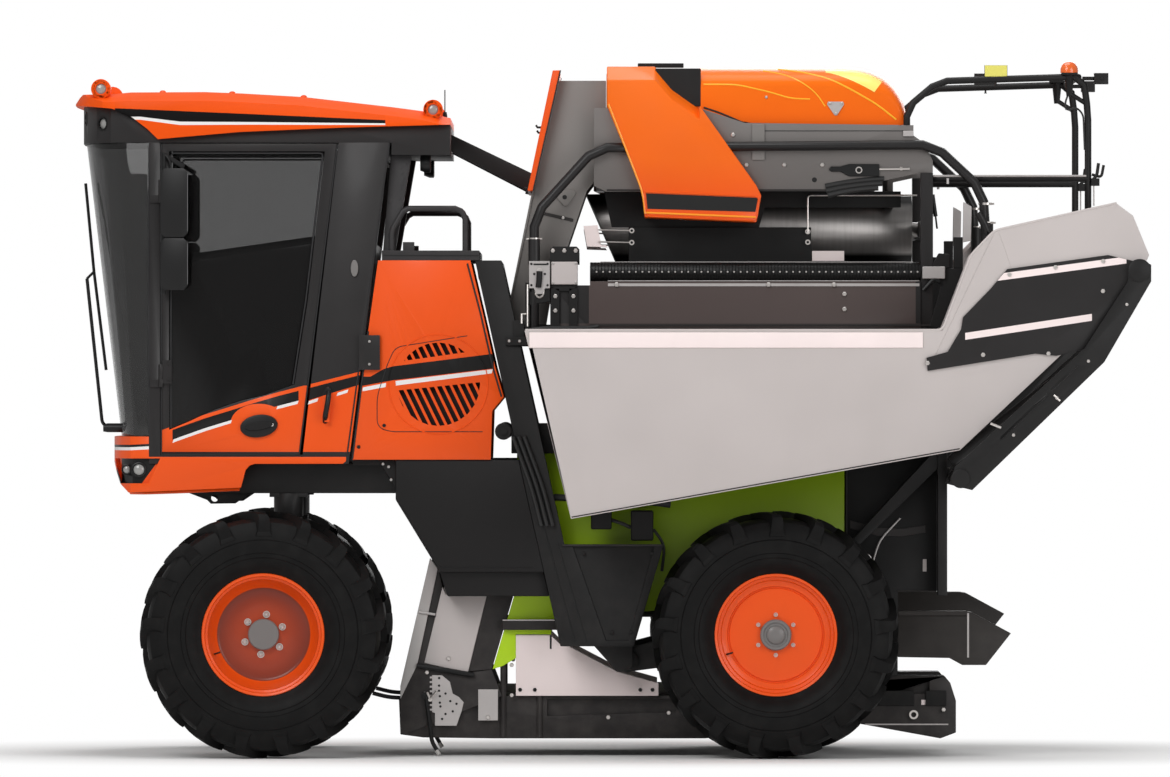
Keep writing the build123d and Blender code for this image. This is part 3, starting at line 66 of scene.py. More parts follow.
class Socket:
    """A shader value that adds Math nodes as Python expressions combine it."""

    def __init__(self, tree, link):
        self.tree = tree
        self.link = link

    def math(self, operation, *others):
        made = self.tree.nodes.new("ShaderNodeMath")
        made.operation = operation
        for index, value in enumerate((self, *others)):
            if isinstance(value, Socket):
                self.tree.links.new(value.link, made.inputs[index])
            else:
                made.inputs[index].default_value = value
        return Socket(self.tree, made.outputs[0])

    def __add__(self, other):
        return self.math("ADD", other)

    def __sub__(self, other):
        return self.math("SUBTRACT", other)

    def __rsub__(self, other):
        return self.math("MULTIPLY", -1.0).math("ADD", other)

    def __mul__(self, other):
        return self.math("MULTIPLY", other)

    def __truediv__(self, other):
        return self.math("DIVIDE", other)

    def __gt__(self, other):
        return self.math("GREATER_THAN", other)

    def __lt__(self, other):
        return self.math("LESS_THAN", other)

    __radd__ = __add__
    __rmul__ = __mul__

    def abs(self):
        return self.math("ABSOLUTE")

    def clamp(self):
        return self.math("MAXIMUM", 0.0).math("MINIMUM", 1.0)

    def ramp(self, low, high):
        """0 below low, 1 above high and a straight slope between them."""
        return ((self - low) / (high - low)).clamp()


class Finish:
    """A new material with its shader, its Object coordinates and their three parts."""

    def __init__(self, name, colour, rough=0.5, metal=0.0, coat=0.0, specular=0.5):
        self.material = bpy.data.materials.new(name)
        self.material.use_nodes = True
        self.tree = self.material.node_tree
        self.shader = self.tree.nodes["Principled BSDF"]
        self.colour = colour
        self.rough = rough
        self.shader.inputs["Metallic"].default_value = metal
        self.shader.inputs["Coat Weight"].default_value = coat
        self.shader.inputs["Coat Roughness"].default_value = 0.12
        self.shader.inputs["Specular IOR Level"].default_value = specular
        self.place = self.node("ShaderNodeTexCoord", output="Object")
        split = {"Vector": self.place}
        self.x, self.y, self.z = (self.node("ShaderNodeSeparateXYZ", output=axis, **split) for axis in "XYZ")

    def node(self, kind, settings=None, output=0, **values):
        """One shader node: settings first, then its sockets, named with underscores for spaces."""
        made = self.tree.nodes.new(kind)
        for name, setting in (settings or {}).items():
            setattr(made, name, setting)
        for name, value in values.items():
            key = int(name[1:]) if name[0] == "_" else name.replace("_", " ")
            if isinstance(value, Socket):
                self.tree.links.new(value.link, made.inputs[key])
            elif isinstance(value, tuple) and len(value) == 3 and made.inputs[key].type == "RGBA":
                made.inputs[key].default_value = (*value, 1.0)
            else:
                made.inputs[key].default_value = value
        return Socket(self.tree, made.outputs[output])

    def noise(self, scale, detail=3.0, rough=0.5, place=None):
        """Cloud noise from 0 to 1, on Object coordinates unless another place is given."""
        return self.node(
            "ShaderNodeTexNoise", Vector=place or self.place, Scale=scale, Detail=detail, Roughness=rough
        )

    def stretched(self, x, y, z):
        """Object coordinates scaled along each axis, for streaks and brushed grain."""
        return self.node("ShaderNodeMapping", Vector=self.place, Scale=(x, y, z))

    def paint_over(self, mask, colour):
        """Lays a colour over what is there wherever the mask is 1."""
        self.colour = self.node("ShaderNodeMix", {"data_type": "RGBA"}, 2, _0=mask, _6=self.colour, _7=colour)

    def bump(self, height, strength=0.2, distance=0.001):
        normal = self.node("ShaderNodeBump", Height=height, Strength=strength, Distance=distance)
        self.tree.links.new(normal.link, self.shader.inputs["Normal"])

    def done(self):
        """Feeds colour and roughness to the shader and returns the material."""
        for name, value in (("Base Color", self.colour), ("Roughness", self.rough)):
            if isinstance(value, Socket):
                self.tree.links.new(value.link, self.shader.inputs[name])
            elif name == "Base Color":
                self.shader.inputs[name].default_value = (*value, 1.0)
            else:
                self.shader.inputs[name].default_value = value
        return self.material


def paint(name, colour, rough=0.35, coat=0.1, dust=0.2, shade=0.8, grain=900.0, specular=0.25):
    """Factory paint: fine orange peel, slow changes of tone, and dust that thickens towards the ground."""
    made = Finish(name, colour, coat=coat, specular=specular)
    made.paint_over(made.noise(1.7, 2.0).ramp(0.35, 0.7) * 0.3, tuple(c * shade for c in colour))
    low = 1.0 - made.z.ramp(0.1, 1.3)
    film = (made.noise(9.0, 5.0, 0.6).ramp(0.4, 0.75) * (low * 0.6 + 0.1) * dust).clamp()
    made.paint_over(film, (0.40, 0.36, 0.33))
    made.rough = (made.noise(6.0, 4.0).ramp(0.3, 0.8) * 0.12 + rough + film * 0.4).clamp()
    made.bump(made.noise(grain, 2.0), 0.05, 0.0005)
    return made


def rounded(piece, width, angle=30.0):
    """Rounds a piece's edges that turn by more than an angle, with a bevel modifier."""
    round_off = piece.modifiers.new("edge", "BEVEL")
    round_off.width = width
    round_off.segments = 2
    round_off.limit_method = "ANGLE"
    round_off.angle_limit = math.radians(angle)
    round_off.harden_normals = True
    return piece


def finish_node(name, material, edge=0.003, angle=30.0):
    """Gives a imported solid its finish, with its facets merged and its edges rounded by modifiers."""
    piece = nodes[name]
    piece.data.materials.clear()
    piece.data.materials.append(material)
    for polygon in piece.data.polygons:
        polygon.use_smooth = True
    weld = piece.modifiers.new("weld", "WELD")
    weld.merge_threshold = 0.00002
    flat = piece.modifiers.new("flat", "DECIMATE")
    flat.decimate_type = "DISSOLVE"
    flat.angle_limit = math.radians(0.6)
    return rounded(piece, edge, angle)


def grid_faces(rows, columns, wrap_rows=False, wrap_columns=False):
    """Quads between the neighbouring points of a grid that is stored row by row."""
    row = np.arange(rows if wrap_rows else rows - 1)[:, None]
    column = np.arange(columns if wrap_columns else columns - 1)[None, :]
    next_row, next_column = (row + 1) % rows, (column + 1) % columns
    corners = (row, column), (row, next_column), (next_row, next_column), (next_row, column)
    return np.stack([r * columns + c for r, c in corners], -1).reshape(-1, 4).tolist()


def cut_out(outline, inner, outer):
    """A plate: an outline of (x, z) pairs carried straight from one distance out to another on the left side."""
    flat = np.array(outline, float)
    count = len(flat)
    points = np.zeros((2, count, 3))
    points[:, :, 0], points[:, :, 2] = flat[:, 0], flat[:, 1]
    points[0, :, 1], points[1, :, 1] = -inner, -outer
    faces = grid_faces(2, count, wrap_columns=True) + [list(range(count)), list(range(count, 2 * count))]
    return points.reshape(-1, 3), faces


def brick(x, out, z):
    """A block between two x, two distances out and two z values."""
    return cut_out([(x[0], z[0]), (x[1], z[0]), (x[1], z[1]), (x[0], z[1])], out[0], out[1])


def drawn(path, section, upward=(0.0, 1.0, 0.0)):
    """Carries a closed section along a path. Each ring stands square to the run, its second axis near upward."""
    path = np.array(path, float)
    ahead = np.gradient(path, axis=0)
    ahead /= np.linalg.norm(ahead, axis=1)[:, None]
    across = np.cross(ahead, upward)
    across /= np.linalg.norm(across, axis=1)[:, None]
    lift = np.cross(across, ahead)
    section = np.array(section, float)
    rings = path[:, None] + across[:, None] * section[None, :, :1] + lift[:, None] * section[None, :, 1:]
    count = len(section)
    faces = grid_faces(len(path), count, wrap_columns=True)
    last = (len(path) - 1) * count
    faces += [list(range(count)), list(range(last, last + count))]
    return rings.reshape(-1, 3), faces


def circle(radius, sides=12):
    """Points round a circle, as (across, up) pairs."""
    angle = np.linspace(0, 2 * np.pi, sides, endpoint=False)
    return np.stack([radius * np.cos(angle), radius * np.sin(angle)], -1)


def bent(corners, cut=0.05, steps=6):
    """Rounds a path's inner corners: each becomes a parabola that starts and ends cut metres from the corner."""
    corners = np.array(corners, float)
    path = [corners[:1]]
    share = np.linspace(0, 1, steps)[:, None]
    for before, corner, after in zip(corners, corners[1:], corners[2:]):
        start = corner + (before - corner) / np.linalg.norm(before - corner) * cut
        end = corner + (after - corner) / np.linalg.norm(after - corner) * cut
        path.append((1 - share) ** 2 * start + 2 * share * (1 - share) * corner + share**2 * end)
    path.append(corners[-1:])
    return np.concatenate(path)


def spun(profile, centre, axis="y", steps=32, closed=False):
    """Turns a profile of (distance along the axis, radius) pairs round an axis through centre.
    On axis y the distance is measured outwards on the left side."""
    profile = np.array(profile, float)
    angle = np.linspace(0, 2 * np.pi, steps, endpoint=False)[:, None]
    along = np.broadcast_to(profile[None, :, 0], (steps, len(profile)))
    first, second = profile[None, :, 1] * np.cos(angle), profile[None, :, 1] * np.sin(angle)
    order = {"y": (first, -along, second), "z": (first, second, along), "x": (along, first, second)}[axis]
    points = np.stack(order, -1) + np.array(centre, float)
    return points.reshape(-1, 3), grid_faces(steps, len(profile), wrap_rows=True, wrap_columns=closed)


def repeated(shape, places):
    """One shape set down at each place of a list, as one shape."""
    points, faces = shape
    places = np.array(places, float)
    spread = (points[None] + places[:, None]).reshape(-1, 3)
    return spread, [[index + step * len(points) for index in face] for step in range(len(places)) for face in faces]


def hexagon_head(radius=0.012, height=0.008):
    """A bolt head that stands outwards from the left side's plane y = 0: six sides with a turned-down rim."""
    rings = [(0.0, radius), (height * 0.75, radius), (height, radius * 0.8), (height, 0.0)]
    return spun(rings, (0, 0, 0), steps=6)


def at(pairs, out):
    """Points at (x, z) pairs, all one distance out on the left side."""
    return [(x, -out, z) for x, z in pairs]


def tube(path, radius, out=None, cut=None, sides=8, upward=(0.0, 1.0, 0.0)):
    """A round bar along a path, of (x, z) pairs where out is given, with rounded corners where cut is given."""
    if out is not None:
        path = at(path, out)
    if cut is not None:
        path = bent(path, cut)
    return drawn(path, circle(radius, sides), upward)


def looped(centre, across, up, out, steps):
    """Points once round an ellipse in x and z and back to its start, all one distance out."""
    angle = np.linspace(0, 2 * np.pi, steps)
    return np.stack([centre[0] + across * np.cos(angle), 0 * angle - out, centre[1] + up * np.sin(angle)], -1)


def bolts(radius, height, out, places):
    """Bolt heads of one size at (x, z) pairs, all one distance out."""
    return repeated(hexagon_head(radius, height), at(places, out))


def disc(radius, depth, centre, steps=32):
    """A round plate whose face stands its depth out of centre."""
    return spun([(0.0, radius), (depth, radius), (depth, 0.0)], centre, steps=steps)


def washer(outer, inner, depth, centre, steps=32):
    """A flat ring whose face stands its depth out of centre."""
    return spun([(0.0, outer), (depth, outer), (depth, inner), (0.0, inner)], centre, steps=steps, closed=True)


def linked(name, data):
    """A new object of the scene that shows a mesh, a lamp or a camera."""
    piece = bpy.data.objects.new(name, data)
    scene.collection.objects.link(piece)
    return piece


def make(name, shapes, material, body="machine", sides=(-1, 1), bevel=0.0, sharp=35.0):
    """Joins shapes into one piece that rides on a body. Side 1 is the mirror image in the middle plane."""
    mesh = bmesh.new()
    for side in sides:
        for points, faces in shapes:
            points = np.array(points, float)
            if side > 0:
                points = points * (1.0, -1.0, 1.0)
            corners = [mesh.verts.new(point) for point in points]
            for face in faces:
                mesh.faces.new([corners[index] for index in face])
    bmesh.ops.remove_doubles(mesh, verts=mesh.verts, dist=0.000005)
    bmesh.ops.recalc_face_normals(mesh, faces=mesh.faces)
    data = bpy.data.meshes.new(name)
    mesh.to_mesh(data)
    mesh.free()
    for polygon in data.polygons:
        polygon.use_smooth = True
    data.set_sharp_from_angle(angle=math.radians(sharp))
    data.materials.append(material)
    piece = linked(name, data)
    if bevel:
        rounded(piece, bevel)
    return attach(piece, body)


SIDES = (("left", -1), ("right", 1))
BLACK = (0.0045, 0.0042, 0.0042)
black_paint = paint("black_paint", (0.0105, 0.0100, 0.0100), 0.45, 0.0, dust=0.06).done()
for name in ("chassis_frame", "front_legs", "knuckle_left", "knuckle_right", "rear_wheel_arms"):
    finish_node(name, black_paint)

# The leg boxes' covers are held by bolts painted with the frame; other fixings are zinc-plated.
zinc = Finish("zinc_plate", (0.62, 0.60, 0.58), rough=0.32, metal=1.0).done()
LEG_FACE = 0.84
leg_bolts = [(-0.13, 1.075), (0.23, 1.075), (0.02, 0.66), (0.12, 0.66)]
make("leg_bolts", [bolts(0.011, 0.007, LEG_FACE, leg_bolts)], black_paint)

# Hydraulic hoses leave a coupling high on the leaning member and run down its face to the leg box.
HOSE_R = 0.011
rubber = Finish("hose_rubber", (0.012, 0.012, 0.012), rough=0.55).done()
hoses = []
for step in range(3):
    x = -0.50 + step * 0.03
    hoses.append(tube([
        (x, -LEG_FACE - 0.016, 1.69), (x + 0.10, -LEG_FACE - 0.02, 1.42), (x + 0.15, -LEG_FACE - 0.016, 1.22),
    ], HOSE_R, cut=0.08))
make("leg_hoses", hoses, rubber)
make("hose_coupling", [
    spun([(0, 0.0), (0, 0.045), (0.03, 0.045), (0.036, 0.038), (0.036, 0.0)], (-0.55, -0.82, 1.717), steps=24),
    spun([(0.03, 0.0), (0.03, 0.02), (0.05, 0.02), (0.05, 0.0)], (-0.55, -0.82, 1.717), steps=6),
], black_paint)

# Four farm tyres of black rubber, with a row of slanted lugs down each side of the tread that run
# over the shoulder. They are moulded in one, so each is one piece that stands for the plain solid.
AXLE_Z = 0.65
# columns: name, middle x, distance out of the tyre's middle, width, body, side
WHEELS = (
    ("front_left", -1.81, 0.93, 0.34, "front_wheel_left", -1),
    ("front_right", -1.81, 0.93, 0.34, "front_wheel_right", 1),
    ("rear_left", 0.88, 0.95, 0.44, "rear_wheel_left", -1),
    ("rear_right", 0.88, 0.95, 0.44, "rear_wheel_right", 1),
)
LUGS_A_SIDE = 17
# columns: share of the half width, radius of the carcass
CARCASS = np.array([
    (0.66, 0.316), (0.70, 0.322), (0.74, 0.336), (0.80, 0.350), (0.90, 0.372), (0.965, 0.400), (0.995, 0.440),
    (1.0, 0.480), (0.985, 0.520), (0.945, 0.556), (0.86, 0.592), (0.72, 0.606), (0.5, 0.612), (0.25, 0.615),
])
# columns: share of the half width, radius of the lug's top, radius of its foot, half of its top's width
LUG = np.array([
    (-0.05, 0.648, 0.600, 0.013), (0.20, 0.649, 0.600, 0.014), (0.50, 0.648, 0.598, 0.016),
    (0.78, 0.643, 0.588, 0.019), (0.93, 0.634, 0.560, 0.023), (0.985, 0.618, 0.535, 0.026),
    (0.995, 0.590, 0.520, 0.030), (0.97, 0.545, 0.515, 0.036),
])
LUG_SWEEP = 0.20


def lug(half, hand, turn, centre):
    """One lug: a bar whose middle turns back round the tyre with the square of its share of the half width."""
    share, top, foot, width = LUG.T
    lean = turn + LUG_SWEEP * np.sign(share) * np.abs(share) ** 1.3
    points = np.zeros((len(LUG), 4, 3))
    for corner, (radius, edge) in enumerate(((foot, -1.35), (top, -1.0), (top, 1.0), (foot, 1.35))):
        angle = lean + edge * width / radius
        points[:, corner] = np.stack([radius * np.sin(angle), hand * share * half, radius * np.cos(angle)], -1)
    faces = grid_faces(len(LUG), 4, wrap_columns=True) + [[0, 1, 2, 3], [len(LUG) * 4 - k for k in (1, 2, 3, 4)]]
    return points.reshape(-1, 3) + centre, faces


tyre_rubber = Finish("tyre_rubber", (0.0048, 0.0046, 0.0046), rough=0.55, specular=0.14)
tyre_rubber.paint_over(tyre_rubber.noise(14.0, 4.0).ramp(0.45, 0.8) * 0.5, (0.013, 0.0125, 0.012))
tyre_rubber.bump(tyre_rubber.noise(260.0, 3.0), 0.15, 0.0008)
tyre_rubber = tyre_rubber.done()
for name, axle_x, track, width, body, side in WHEELS:
    half = width / 2
    left_side = np.concatenate([CARCASS, (CARCASS * (-1, 1))[::-1]])
    shapes = [spun(left_side * (half, 1), (axle_x, -track, AXLE_Z), steps=96, closed=True)]
    for ring_r in (0.405, 0.43, 0.5):
        share = np.interp(ring_r, CARCASS[:8, 1], CARCASS[:8, 0])
        rib = np.array([
            (share * half - 0.003, ring_r - 0.004), (share * half + 0.0025, ring_r),
            (share * half - 0.003, ring_r + 0.004),
        ])
        shapes.append(spun(rib, (axle_x, -track, AXLE_Z), steps=96, closed=True))
    for step in range(LUGS_A_SIDE):
        for hand, stagger in ((1, 0.0), (-1, 0.5)):
            turn = (step + stagger) * 2 * np.pi / LUGS_A_SIDE
            shapes.append(lug(half, hand, turn, np.array([axle_x, -track, AXLE_Z])))
    tyre = make(f"{name}_tyre", shapes, tyre_rubber, body, sides=(side,), sharp=28)
    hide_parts(f"tyre_{name}")

# Rims pressed and rolled from steel and painted orange: two lips, a stepped drop-centre well, and a
# dished disc bolted to the hub by six plated nuts. The front ones are dished deep, the rear ones nearly flat.
rim_orange = Finish("rim_orange", (0.82, 0.085, 0.004), rough=0.34, coat=0.12, specular=0.3)
rim_orange.paint_over(rim_orange.noise(5.0, 4.0).ramp(0.5, 0.8) * 0.25, (0.70, 0.085, 0.008))
rim_orange.bump(rim_orange.noise(700.0, 2.0), 0.04, 0.0004)
# The deep dish of a front rim is painted dark brown: painted shade in the hollow of the dish, darkest towards its
# outer edge.
from_axle_x, from_axle_z = rim_orange.x - WHEELS[0][1], rim_orange.z - AXLE_Z
from_axle = (from_axle_x * from_axle_x + from_axle_z * from_axle_z).math("POWER", 0.5)
film = (1 - from_axle.ramp(0.243, 0.247)) * (from_axle.ramp(0.05, 0.26) * 0.35 + 0.5)
rim_orange.paint_over(film, (0.060, 0.022, 0.018))
rim_orange = rim_orange.done()
hub_grey = Finish("hub_grey", (0.165, 0.155, 0.15), rough=0.42, coat=0.1).done()
nut_steel = Finish("nut_steel", (0.70, 0.66, 0.63), rough=0.3, metal=0.9).done()
# columns: distance out from the tyre's middle, radius; the outer profile, then the inner one back
FRONT_RIM = [
    (0.118, 0.324), (0.124, 0.320), (0.120, 0.308), (0.098, 0.303), (0.094, 0.292), (0.060, 0.286), (0.020, 0.262),
    (-0.004, 0.250), (-0.012, 0.240), (-0.016, 0.228), (-0.010, 0.150), (-0.004, 0.125), (-0.004, 0.0),
]
REAR_RIM = [
    (0.150, 0.324), (0.157, 0.320), (0.153, 0.308), (0.128, 0.303), (0.124, 0.290), (0.106, 0.284), (0.100, 0.268),
    (0.098, 0.256), (0.086, 0.252), (0.086, 0.246), (0.094, 0.242), (0.096, 0.150), (0.096, 0.0),
]
HUB_CAP = [(0.0, 0.082), (0.028, 0.082), (0.034, 0.077), (0.034, 0.0)]
HUB_RING = [
    (0.0, 0.082), (0.020, 0.082), (0.026, 0.077), (0.026, 0.066), (0.020, 0.060), (0.020, 0.050), (0.030, 0.046),
    (0.036, 0.036), (0.040, 0.020), (0.041, 0.0),
]
NUT_CIRCLE_R = 0.106
VALVE_R, VALVE_TURN = 0.276, -1.95
for name, axle_x, track, width, body, side in WHEELS:
    front = name.startswith("front")
    centre = np.array([axle_x, -track, AXLE_Z])
    outer = np.array(FRONT_RIM if front else REAR_RIM)
    barrel = np.array([(outer[0, 0] - 0.004, 0.316), (-outer[0, 0], 0.316), (-outer[0, 0], 0.302), (-0.06, 0.280)])
    disc_back = outer[-1, 0] - 0.02
    profile = np.concatenate([outer, [(disc_back, 0.0), (disc_back, 0.230), (-0.06, 0.262)], barrel[::-1]])
    rim = make(f"{name}_rim", [spun(profile, centre, steps=96, closed=True)], rim_orange, body, (side,), sharp=40)
    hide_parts(f"rim_{name}")
    face = centre + (0, -outer[-1, 0], 0)
    hub = spun(HUB_CAP if front else HUB_RING, face, steps=40)
    make(f"{name}_hub_cap", [hub], hub_grey, body, (side,), sharp=30)
    angle = np.radians(np.arange(6) * 60 + (8 if front else 0))
    places = face + NUT_CIRCLE_R * np.stack([np.sin(angle), 0 * angle, np.cos(angle)], -1)
    size = 0.015 if front else 0.009
    shim = spun([(0, size * 1.25), (0.003, size * 1.25), (0.003, size * 0.9)], (0, 0, 0), steps=16, closed=True)
    stud = spun([(0, size * 0.5), (0.030, size * 0.5), (0.033, size * 0.35), (0.033, 0)], (0, 0, 0), steps=12)
    nut = hexagon_head(size, 0.022)
    make(f"{name}_nuts", [repeated(part, places) for part in (shim, nut, stud)], nut_steel, body, (side,))
    valve_out = 0.045 if front else 0.105
    valve_at = centre + (VALVE_R * math.sin(VALVE_TURN), -valve_out, VALVE_R * math.cos(VALVE_TURN))
    valve = tube([
        valve_at, valve_at + (0.012, -0.02, 0.004), valve_at + (0.03, -0.03, 0.01),
    ], 0.005, upward=(0, 0, 1))
    make(f"{name}_valve", [valve], rubber, body, (side,))

# The side tanks are moulded from dark plastic and hang under the engine bay on the leaning members,
# with a set-back sump below and a bolted gusset at the front.
DARK = (0.0175, 0.0160, 0.0162)
dark_plastic = Finish("dark_plastic", (0.0115, 0.0108, 0.0108), rough=0.5, specular=0.2)
dark_plastic.bump(dark_plastic.noise(420.0, 3.0), 0.12, 0.0006)
dark_plastic = dark_plastic.done()
finish_node("side_tanks", dark_plastic, 0.006)
TANK_FACE = 0.84
make("tank_bolts", [bolts(0.009, 0.006, 0.80, [(-1.155, 1.53), (-1.142, 1.462), (-1.185, 1.545)])], zinc)
make("tank_seam", [tube([(-1.10, 1.345), (-0.89, 1.0), (-0.40, 1.0)], 0.0025, TANK_FACE, 0.03, 6)], black_paint)

# The cab's frame is a dark-painted steel cell: floor, front pillars, rear side panels and a rear wall.
# The rear panel carries the machine's orange sweep with its black and white stripes, a pull and a latch.
ORANGE = (0.83, 0.086, 0.004)
CAB_FACE = 0.85


def sweep_line(finish, points):
    """Height of a side line at each x: straight runs between (x, z) points, as a sum of sloped ramps."""
    height = points[0][1]
    for (x0, z0), (x1, z1) in zip(points, points[1:]):
        height = finish.x.ramp(x0, x1) * (z1 - z0) + height
    return height


def striped(name, base, edges, rough=0.36, coat=0.1):
    """Paint that changes colour across side lines: below each line of the list its own colour holds."""
    made = paint(name, base, rough, coat, dust=0.05)
    for points, colour in edges:
        made.paint_over(made.z < sweep_line(made, points), colour)
    return made


WHITE = (0.80, 0.78, 0.77)
PANEL_EDGE = [(-1.60, 1.957), (-1.45, 1.995), (-1.31, 2.030)]
cab_dark = striped("cab_dark", DARK, [
    (PANEL_EDGE, ORANGE),
    ([(-1.60, 1.938), (-1.45, 1.977), (-1.31, 2.012)], BLACK),
    ([(-1.60, 1.872), (-1.45, 1.920), (-1.31, 1.962)], ORANGE),
])
# The sweep is on the panels' outside only: the front pillars, the sill and the inside stay dark.
cab_dark.paint_over((cab_dark.x < -1.655) + (cab_dark.z < 1.609) + (cab_dark.y.abs() < 0.845) > 0.5, DARK)
cab_dark = cab_dark.done()
finish_node("cab_shell", cab_dark, 0.002)

# Self-adhesive white stripes, cut from film, on the panel behind the door.
film_white = Finish("film_white", WHITE, rough=0.4).done()


def stripe(low, high, out, thick=0.0008, steps=12):
    """A strip of film between two side lines with the same x values, laid on a face at a distance out."""
    low, high = np.array(low, float), np.array(high, float)
    x = np.linspace(low[0, 0], low[-1, 0], steps)
    bottom = np.stack([x, np.interp(x, low[:, 0], low[:, 1])], -1)
    x = np.linspace(high[0, 0], high[-1, 0], steps)[::-1]
    top = np.stack([x, np.interp(x, high[:, 0], high[:, 1])], -1)
    return cut_out(np.concatenate([bottom, top]), out, out + thick)


make("panel_stripes", [
    stripe([(-1.580, 1.858), (-1.530, 1.874)], [(-1.574, 1.876), (-1.524, 1.893)], CAB_FACE),
    stripe([(-1.428, 1.903), (-1.372, 1.920)], [(-1.422, 1.920), (-1.366, 1.938)], CAB_FACE),
], film_white)

# A black moulded pull on the rear panel, and a small oval latch above.
PULL = (-1.478, 1.856)
soft_black = Finish("soft_black", (0.007, 0.007, 0.0072), rough=0.42, specular=0.3).done()
pull = [
    (PULL[0] - 0.010, -CAB_FACE, PULL[1] - 0.088), (PULL[0] - 0.010, -CAB_FACE - 0.045, PULL[1] - 0.060),
    (PULL[0] + 0.002, -CAB_FACE - 0.055, PULL[1]), (PULL[0] + 0.010, -CAB_FACE - 0.045, PULL[1] + 0.055),
    (PULL[0] + 0.004, -CAB_FACE, PULL[1] + 0.088),
]
make("panel_pull", [tube(pull, 0.014, cut=0.02, sides=12, upward=(1, 0, 0))], soft_black, bevel=0.002)
oval = circle(1.0, 24) * (0.020, 0.045) + (-1.334, 2.575)
make("panel_latch", [cut_out(oval, CAB_FACE, CAB_FACE + 0.012)], hub_grey, bevel=0.004)
make("cover_block_bolts", [bolts(0.008, 0.006, 0.875, [(-1.255, 2.07), (-1.255, 2.19)])], zinc)

# Rubber seals close the joints between the door, the panel behind it and the sill.
SEAL = 0.004
seal_rubber = Finish("seal_rubber", (0.010, 0.010, 0.011), rough=0.6).done()
make("cab_seals", [
    tube([(-1.624, 1.60), (-1.424, 3.225)], SEAL, CAB_FACE + 0.001, sides=6),
    tube([(-2.351, 1.60), (-2.351, 3.23)], SEAL, CAB_FACE + 0.001, sides=6),
    tube([(-2.35, 1.597), (-1.62, 1.597)], SEAL, CAB_FACE + 0.001, sides=6),
    tube([(-1.372, 1.60), (-1.150, 3.23)], SEAL, CAB_FACE + 0.001, sides=6),
], seal_rubber)

# The roof is a glass-fibre moulding in orange gelcoat over a dark lining. A black wedge with a white
# stripe sweeps back along its side, and a round work lamp sits in a collar at each corner.
roof_orange = striped("roof_orange", ORANGE, [
    ([(-2.60, 3.417), (-1.88, 3.386), (-1.171, 3.354)], BLACK),
    ([(-2.46, 3.372), (-2.25, 3.346), (-1.88, 3.344), (-1.171, 3.337)], WHITE),
    ([(-2.46, 3.356), (-2.25, 3.328), (-1.88, 3.330), (-1.171, 3.328)], ORANGE),
    ([(-2.60, 3.330), (-1.171, 3.318)], ORANGE),
], rough=0.4, coat=0.0)
roof_orange.paint_over(roof_orange.x < -2.594, ORANGE)
roof_orange.paint_over(roof_orange.x > -1.171, ORANGE)
roof_orange.paint_over(roof_orange.y.abs() < 0.80, ORANGE)
roof_orange.shader.inputs["Specular IOR Level"].default_value = 0.10
roof_orange = roof_orange.done()
finish_node("cab_roof", roof_orange, 0.006, 25)
lamp_glass = Finish("lamp_glass", (0.30, 0.30, 0.29), rough=0.08, coat=0.6).done()
orange_plain = paint("orange_plain", ORANGE, 0.3, 0.15, dust=0.04).done()
LAMP_OUT = 0.79
ROOF_LAMPS = ((-2.671, 3.521), (-0.921, 3.412))
collars, lenses = [], []
for lamp_x, lamp_z in ROOF_LAMPS:
    collars.append(spun(
        [(0.0, 0.030), (0.018, 0.030), (0.020, 0.034), (0.020, 0.048), (0.014, 0.052), (0.0, 0.052)],
        (lamp_x, -LAMP_OUT, lamp_z), steps=36, closed=True,
    ))
    lenses.append(spun([(0.004, 0.030), (0.010, 0.022), (0.013, 0.0)], (lamp_x, -LAMP_OUT, lamp_z), steps=24))
make("roof_lamp_collars", collars, orange_plain, sharp=30)
make("roof_lamp_lenses", lenses, lamp_glass)
# Three low domed caps cover the screws that hold the roof down.
caps = [spun([(0, 0.018), (0.008, 0.016), (0.013, 0.008), (0.014, 0)], (x, -0.60, z), "z", 20) for x, z in (
    (-2.352, 3.505), (-1.985, 3.500), (-1.607, 3.480))]
make("roof_caps", caps, orange_plain)

# The dark lining closes the cab under the roof; its visor holds two round work lamps at each corner.
lining = paint("lining_dark", DARK, 0.45, 0.0, dust=0.02).done()
finish_node("roof_band", lining, 0.003)
# columns: x, distance out, height, degrees from straight ahead
VISOR_LAMPS = ((-2.668, 0.783, 3.338, 50), (-2.765, 0.545, 3.368, 12))
bezels, visor_lenses = [], []
for lamp_x, lamp_out, lamp_z, turn in VISOR_LAMPS:
    ahead = np.array([-math.cos(math.radians(turn)), -math.sin(math.radians(turn)), 0])
    for profile, group in (
        ([(-0.012, 0.036), (-0.002, 0.036), (-0.002, 0.030), (-0.012, 0.027)], bezels),
        ([(-0.022, 0.030), (-0.016, 0.020), (-0.013, 0.0)], visor_lenses),
    ):
        points, faces = spun(profile, (0, 0, 0), "x", 28, closed=group is bezels)
        across = np.array([-ahead[1], ahead[0], 0])
        turned = points[:, :1] * ahead + points[:, 1:2] * across + points[:, 2:] * (0, 0, 1)
        group.append((turned + (lamp_x, -lamp_out, lamp_z), faces))
make("visor_bezels", bezels, soft_black)
make("visor_lenses", visor_lenses, lamp_glass)
make("work_lamp", [
    spun([
        (0.0, 0.0), (0.0, 0.040), (0.030, 0.052), (0.052, 0.052), (0.056, 0.044), (0.056, 0.0),
    ], (-0.99, -0.70, 3.132), "x", 28),
    tube([(-0.97, 3.132), (-0.97, 3.175)], 0.010, 0.70),
], soft_black)
make("antenna", [
    spun([(0, 0.014), (0.03, 0.010), (0.034, 0)], (-0.861, -0.62, 3.372), "z", 16),
    tube([(-0.861, 3.39), (-0.861, 3.52)], 0.003, 0.62),
], soft_black, sides=(-1,))

